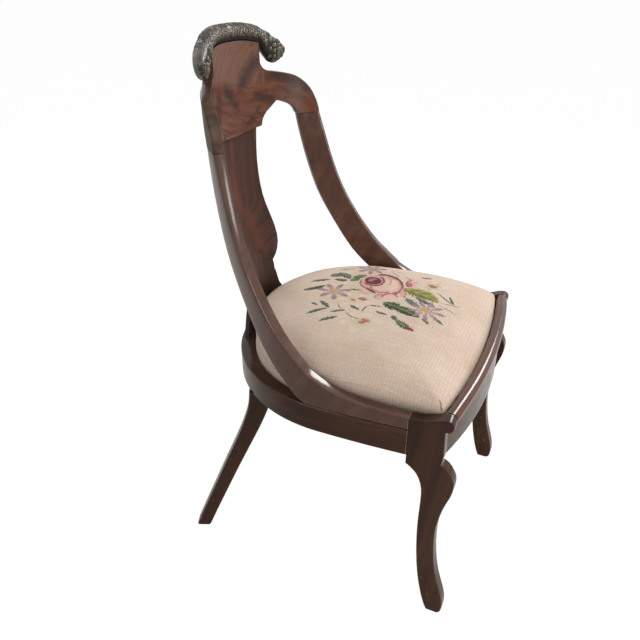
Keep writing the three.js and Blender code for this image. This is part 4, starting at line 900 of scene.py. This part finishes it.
def needlepoint():
    """Tent stitches on canvas: a beige ground and a worked bunch of flowers, stitch by stitch."""
    t = Shader("needlepoint_cloth")
    flat = t.node("ShaderNodeAttribute", attribute_name="cloth").outputs["Vector"]
    cell = t.vector("FLOOR", t.scaled(flat, (1 / STITCH,) * 3))
    p = t.scaled(t.vector("ADD", cell, (0.5, 0.5, 0.5)), (STITCH, STITCH, 0.0))
    own = t.feed(t.node("ShaderNodeTexWhiteNoise", noise_dimensions="2D"), Vector=cell)["Value"]
    cloudy = t.noise(p, 9.0, 3.0, 0.6)
    rows = t.noise(t.scaled(p, (260.0, 9.0, 1.0)), 1.0, 2.0, 0.6)
    colour = t.ramp(cloudy, [(0.3, (216, 191, 170)), (0.5, (225, 203, 185)), (0.7, (230, 207, 192))])
    colour = t.mix(t.grade(rows, 0.35, 0.75, 0.0, 0.35), colour, srgb(200, 178, 152))

    leaf, daisy = leaf_group(), daisy_group()

    def at(x, y):
        return (x / 1000.0, y / 1000.0, 0.0)

    def after(colour):
        """The stitch's place, a hair away by the colour so far: the shapes are worked one by one,
        which keeps the shader's working memory small."""
        return t.vector("MULTIPLY_ADD", colour, (1e-7, 1e-7, 0.0), p)

    def group(tree, *values):
        return t.feed(t.node("ShaderNodeGroup", node_tree=tree), after(colour), *values)

    def put_leaf(a, b, width, bow, looks):
        mask, along, across = group(leaf, at(*a), at(*b), width / 1000.0, bow / 1000.0)
        side = t.grade(across, -0.7, 0.9)
        out = t.math("ABSOLUTE", across)
        barbs = t.math("SINE", t.plus(t.times(along, 24.0), t.times(out, -5.0)))
        share = t.plus(t.times(side, 0.55), t.times(barbs, 0.3), clamp=True)
        paint = t.mix(share, srgb(*looks[0]), srgb(*looks[1]))
        if width >= VEINED_WIDTH:
            vein = t.times(t.grade(out, 0.16, 0.04), 0.6)
            paint = t.mix(vein, paint, srgb(186, 184, 142))
        return t.mix(mask, colour, paint)

    def put_daisy(centre, radius, petals, turn, waist, hearts, looks):
        mask, r, petal = group(daisy, at(*centre), radius / 1000.0, float(petals), turn, waist)
        inner, outer, edge, heart = (srgb(*shade) for shade in looks)
        paint = t.mix(t.grade(r, 0.25, 0.95), inner, outer)
        paint = t.mix(t.times(t.grade(petal, 0.8, 0.35), 0.6), paint, edge)
        paint = t.mix(t.grade(r, hearts + 0.03, hearts - 0.03), paint, heart)
        return t.mix(mask, colour, paint)

    for lily in LILIES:
        colour = put_daisy(*lily, 0.16, LILY_LOOKS)
    for entry in LEAVES:
        colour = put_leaf(*entry)
    for entry in DAISIES:
        colour = put_daisy(*entry, (PALE_LILAC, LILAC, DUSK, YOLK))
    for a, b, width, looks in BUDS:
        colour = put_leaf(a, b, width, 0, looks)
    petal = petal_group()
    for centre, (ax, ay), (bx, by), fill, blush, edge, way, limit in PETALS:
        area = (ax * by - ay * bx) / 1000.0
        way = math.radians(way)
        r, side = group(petal, at(*centre), (by / area, -bx / area, 0.0), (-ay / area, ax / area, 0.0),
                        (math.cos(way), math.sin(way), 0.0))
        paint = t.mix(t.times(t.grade(side, -0.4, 0.9), t.grade(r, 0.2, 0.9)), srgb(*fill), srgb(*blush))
        rim = t.times(t.grade(r, 0.74, 0.86), t.grade(side, limit - 0.1, limit + 0.35))
        paint = t.mix(rim, paint, srgb(*edge))
        colour = t.mix(t.grade(r, 1.0, 0.96), colour, paint)

    for side in (-1, 1):
        colour = put_leaf((side * 189, -204), (side * 210, -217), 4, 0, PLEAT_SHADOW)

    shade = t.plus(0.93, t.times(own, 0.12))
    x, y, _ = t.split(t.scaled(flat, (math.pi / STITCH,) * 3))
    across = t.math("ABSOLUTE", t.math("SINE", x))
    updown = t.math("ABSOLUTE", t.math("SINE", y))
    slant = t.math("ABSOLUTE", t.math("SINE", t.plus(x, y)))
    height = t.plus(t.times(t.times(across, updown), 0.5), t.times(slant, 0.5))
    # painted shade in the gaps between the stitches
    stitch_and_rib_shade = t.grade(height, 0.05, 0.55, 0.62, 1.06)
    # painted shade along ribs that run across the seat, where rows of stitches were pulled tight
    _, forward, _ = t.split(flat)
    sway = t.times(t.noise(flat, 22.0, 2.0), 0.0045)
    rib = t.math("SINE", t.times(t.plus(forward, sway), 2 * math.pi / RIB_PITCH))
    stitch_and_rib_shade = t.times(stitch_and_rib_shade, t.grade(rib, -0.9, 0.7, 0.95, 1.02))
    colour = t.scale(colour, t.times(shade, stitch_and_rib_shade))
    wool = t.noise(flat, 2600.0, 2.0, 0.6)
    rough = t.grade(wool, 0.3, 0.7, 0.84, 0.97)
    normal = t.bump(t.plus(height, t.times(wool, 0.25)), 0.0006, 0.55)
    return t.finish(colour, rough, normal, Specular_IOR_Level=0.2, Sheen_Weight=0.12, Sheen_Roughness=0.5)


# the drop-in frame's outline, as the part's source has it: its reach at the back, how far its
# straight sides run forward and draw in, and the front edge's middle, corners and width
SEAT_REACH = 0.2045
SIDE_RUN, SIDE_TURN, SIDE_DRAW = 0.177, 0.1477, 0.0055
FRONT_MIDDLE, FRONT_CORNER, FRONT_HALF, FRONT_INSET = 0.230, 0.030, 0.205, 0.023
# the cloth drawn down over the frame: how far outside the frame, and height, in millimetres
SKIRT = [(0.6, 352.45), (1.0, 352.8), (1.15, 354.5), (1.15, 362), (1.05, 371), (0.9, 376), (0.4, 380),
         (-0.7, 383.5), (-2.2, 386), (-2.5, 384.5), (-1.2, 380.5), (0.15, 376.5), (0.2, 371), (0.2, 354),
         (0.3, 352.6)]


def skirt_ring(o):
    """The frame's outline, let out by o: left side, back, right side, front edge."""
    r = SEAT_REACH + o
    shares = np.linspace((SIDE_RUN + o) / SIDE_TURN, 0, 60, endpoint=False)
    straight = [(r - SIDE_DRAW * min(1.0, f) ** 2, -SIDE_TURN * f) for f in shares]
    ring = [(-x, y) for x, y in straight]
    ring += [(r * math.sin(a), r * math.cos(a)) for a in np.linspace(-math.pi / 2, math.pi / 2, 160)]
    ring += straight[::-1]
    x_end = straight[0][0]
    for x in np.linspace(x_end, -x_end, 110)[1:-1]:
        ring.append((x, -(FRONT_MIDDLE - FRONT_CORNER * (x / FRONT_HALF) ** 2) + FRONT_INSET - o))
    return ring


def seat_skirt(shift, shoulder, cover):
    """The needlepoint's edge, drawn down between the frame's sides and the rails."""
    points, cloth = [], []
    for offset, z in SKIRT:
        ring = skirt_ring(offset / 1000.0)
        for x, y in ring:
            points.append((x, y + shift, z / 1000.0))
            away = Vector((x, y, 0.0)).normalized()
            drop = max(0.0, shoulder - z / 1000.0)
            cloth.append((x + away.x * drop, y + shift + away.y * drop, 0.0))
    skirt = mesh_piece("seat_skirt", points, ring_faces(len(SKIRT), len(ring), closed=True), cover)
    put_layer(skirt.data, "cloth", cloth)
    return skirt


VOXEL = 0.004
# the cloth simulation starts a little slimmer and may swell so far; then its place is held close
# to the CAD form: sideways, down and up
SLIMMER, SWELL = 0.0025, 0.006
HOLD_FLAT, HOLD_DOWN, HOLD_UP = 0.0005, -0.001, 0.003
NAILED = 0.007
SIMULATED_FRAMES, EVENING_ROUNDS = 20, 24
CLOTH = {"quality": 6, "mass": 0.3, "tension_stiffness": 18, "compression_stiffness": 18,
         "shear_stiffness": 8, "bending_stiffness": 2, "use_pressure": True, "uniform_pressure_force": 4}
# a pleat beside each front corner: its half width, length in front and behind, and depth
PLEAT_WIDTH, PLEAT_AHEAD, PLEAT_BEHIND, PLEAT_DEPTH = 0.0013, 0.017, 0.01, 0.0018


def read_rows(collection, what="co"):
    """A mesh's places or normals as rows of three."""
    values = np.zeros(len(collection) * 3)
    collection.foreach_get(what, values)
    return values.reshape(-1, 3)


def applied(piece, kind, **settings):
    """Gives a mesh a modifier and applies it."""
    made = tuned(piece.modifiers.new(kind.lower(), kind), **settings)
    bpy.ops.object.modifier_apply(modifier=made.name)


def swelled(piece, rest, base):
    """Where the points stand once the stuffing has swelled the cloth, with its dents evened out."""
    data, count = piece.data, len(rest)
    slim = rest - read_rows(data.vertices, "normal") * SLIMMER
    data.vertices.foreach_set("co", slim.ravel())
    data.update()
    foot = piece.vertex_groups.new(name="foot")
    nailed = rest[:, 2] < base + NAILED
    foot.add([i for i in range(count) if nailed[i]], 1.0, "REPLACE")
    cloth = piece.modifiers.new("cloth", "CLOTH")
    tuned(cloth.settings, vertex_group_mass="foot", **CLOTH)
    cloth.settings.effector_weights.gravity = 0
    cloth.collision_settings.use_collision = False
    for step in range(1, SIMULATED_FRAMES + 1):
        scene.frame_set(step)
    made = piece.evaluated_get(bpy.context.evaluated_depsgraph_get())
    moved = read_rows(made.data.vertices) - slim
    piece.modifiers.remove(cloth)
    scene.frame_set(1)
    far = np.linalg.norm(moved, axis=1, keepdims=True)
    moved *= np.minimum(1.0, SWELL / np.maximum(far, 1e-9))
    # the swelling stays close to the outline that the rails leave free
    over = slim + moved - rest
    flat = np.linalg.norm(over[:, :2], axis=1, keepdims=True)
    over[:, :2] *= np.minimum(1.0, HOLD_FLAT / np.maximum(flat, 1e-9))
    over[:, 2] = np.clip(over[:, 2], HOLD_DOWN, HOLD_UP)
    ends = np.zeros(len(data.edges) * 2, np.int32)
    data.edges.foreach_get("vertices", ends)
    ends = ends.reshape(-1, 2)
    near = np.maximum(np.bincount(ends.ravel(), minlength=count), 1)[:, None]
    for _ in range(EVENING_ROUNDS):
        total = np.zeros_like(over)
        np.add.at(total, ends[:, 0], over[ends[:, 1]])
        np.add.at(total, ends[:, 1], over[ends[:, 0]])
        over = total / near
    return rest + over


def seat_cushion():
    """The stuffed seat: the CAD form, remeshed, swelled by a cloth simulation and covered."""
    low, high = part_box("seat_cushion")
    data = cad["seat_cushion"].data.copy()
    data.materials.clear()
    piece = placed("needlepoint_cushion", data)
    bpy.context.view_layer.objects.active = piece
    applied(piece, "WELD", merge_threshold=WELD)
    applied(piece, "REMESH", mode="VOXEL", voxel_size=VOXEL)
    data = piece.data
    rest = read_rows(data.vertices)
    base, top = low.z, high.z
    rest = swelled(piece, rest, base)
    # a slightly uneven hand-stuffed crown
    x, y, z = rest[:, 0], rest[:, 1], rest[:, 2]
    crown = np.clip((z - base) / (top - base), 0, 1)
    waves = np.sin(x * 31 + 1) * np.cos(y * 27) + 0.5 * np.sin(x * 57 - y * 43)
    rest[:, 2] += crown**2 * 0.0009 * waves
    rest[:, 2] = np.clip(rest[:, 2], base, top)
    data.vertices.foreach_set("co", rest.ravel())
    data.update()
    applied(piece, "SUBSURF", levels=1, render_levels=1)
    data = piece.data
    co, normals = read_rows(data.vertices), read_rows(data.vertices, "normal")
    # a short pleat beside each front corner
    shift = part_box("seat_frame_rear")[1].y - SEAT_REACH
    for side in (-1, 1):
        start = np.array([side * 0.2035, shift - 0.1870])
        inward = np.array([-side * 0.93, 0.37])
        d = co[:, :2] - start
        along = d @ inward
        across = d @ np.array([inward[1], -inward[0]])
        groove = np.exp(-((across / PLEAT_WIDTH) ** 2))
        groove *= np.clip(1 - along / PLEAT_AHEAD, 0, 1) * np.clip(1 + along / PLEAT_BEHIND, 0, 1)
        co -= normals * (groove * PLEAT_DEPTH)[:, None]
    # the cloth's own flat coordinates: straight on top, running on down the sides
    shoulder = base + 0.040
    drop = np.clip(shoulder - co[:, 2], 0, None)
    out = normals[:, :2] / np.maximum(np.linalg.norm(normals[:, :2], axis=1, keepdims=True), 1e-6)
    steep = np.clip((0.6 - normals[:, 2]) / 0.5, 0, 1)
    cloth_place = np.zeros((len(co), 3), np.float32)
    cloth_place[:, :2] = co[:, :2] + out * (drop * steep)[:, None]
    put_layer(data, "cloth", cloth_place)
    data.polygons.foreach_set("use_smooth", [True] * len(data.polygons))
    cover = needlepoint()
    data.materials.append(cover)
    both = [piece, seat_skirt(shift, shoulder, cover)]
    with bpy.context.temp_override(active_object=piece, object=piece, selected_objects=both,
                                   selected_editable_objects=both):
        bpy.ops.object.join()
    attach(piece, "slip_seat")
    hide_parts("seat_cushion")


seat_cushion()


# ---------------------------------------------------------------- floor
FLOOR_HALF, FLOOR_GAP = 30.0, 0.0005


def floor():
    """White paper: what the camera sees is nearly its own light, so that only a faint shadow shows."""
    t = Shader("floor_white")
    seen = t.node("ShaderNodeLightPath").outputs["Is Camera Ray"]
    dull = t.noise(t.place(), 3.0, 2.0)
    grey = t.ramp(dull, [(0.0, (96, 96, 97)), (1.0, (104, 104, 104))])
    paper = t.feed(t.node("ShaderNodeBsdfDiffuse"), Color=t.mix(seen, srgb(226, 225, 222), grey))[0]
    glow = t.feed(t.node("ShaderNodeEmission"), Strength=0.93)[0]
    both = t.feed(t.node("ShaderNodeAddShader"), paper, glow)[0]
    t.feed(t.node("ShaderNodeOutputMaterial"), t.mix_shader(seen, paper, both))
    corners = [(x * FLOOR_HALF, y * FLOOR_HALF, 0) for x, y in ((-1, -1), (1, -1), (1, 1), (-1, 1))]
    piece = mesh_piece("floor", corners, [(0, 1, 2, 3)], t.material, smooth=False)
    piece.location.z = -FLOOR_GAP


floor()
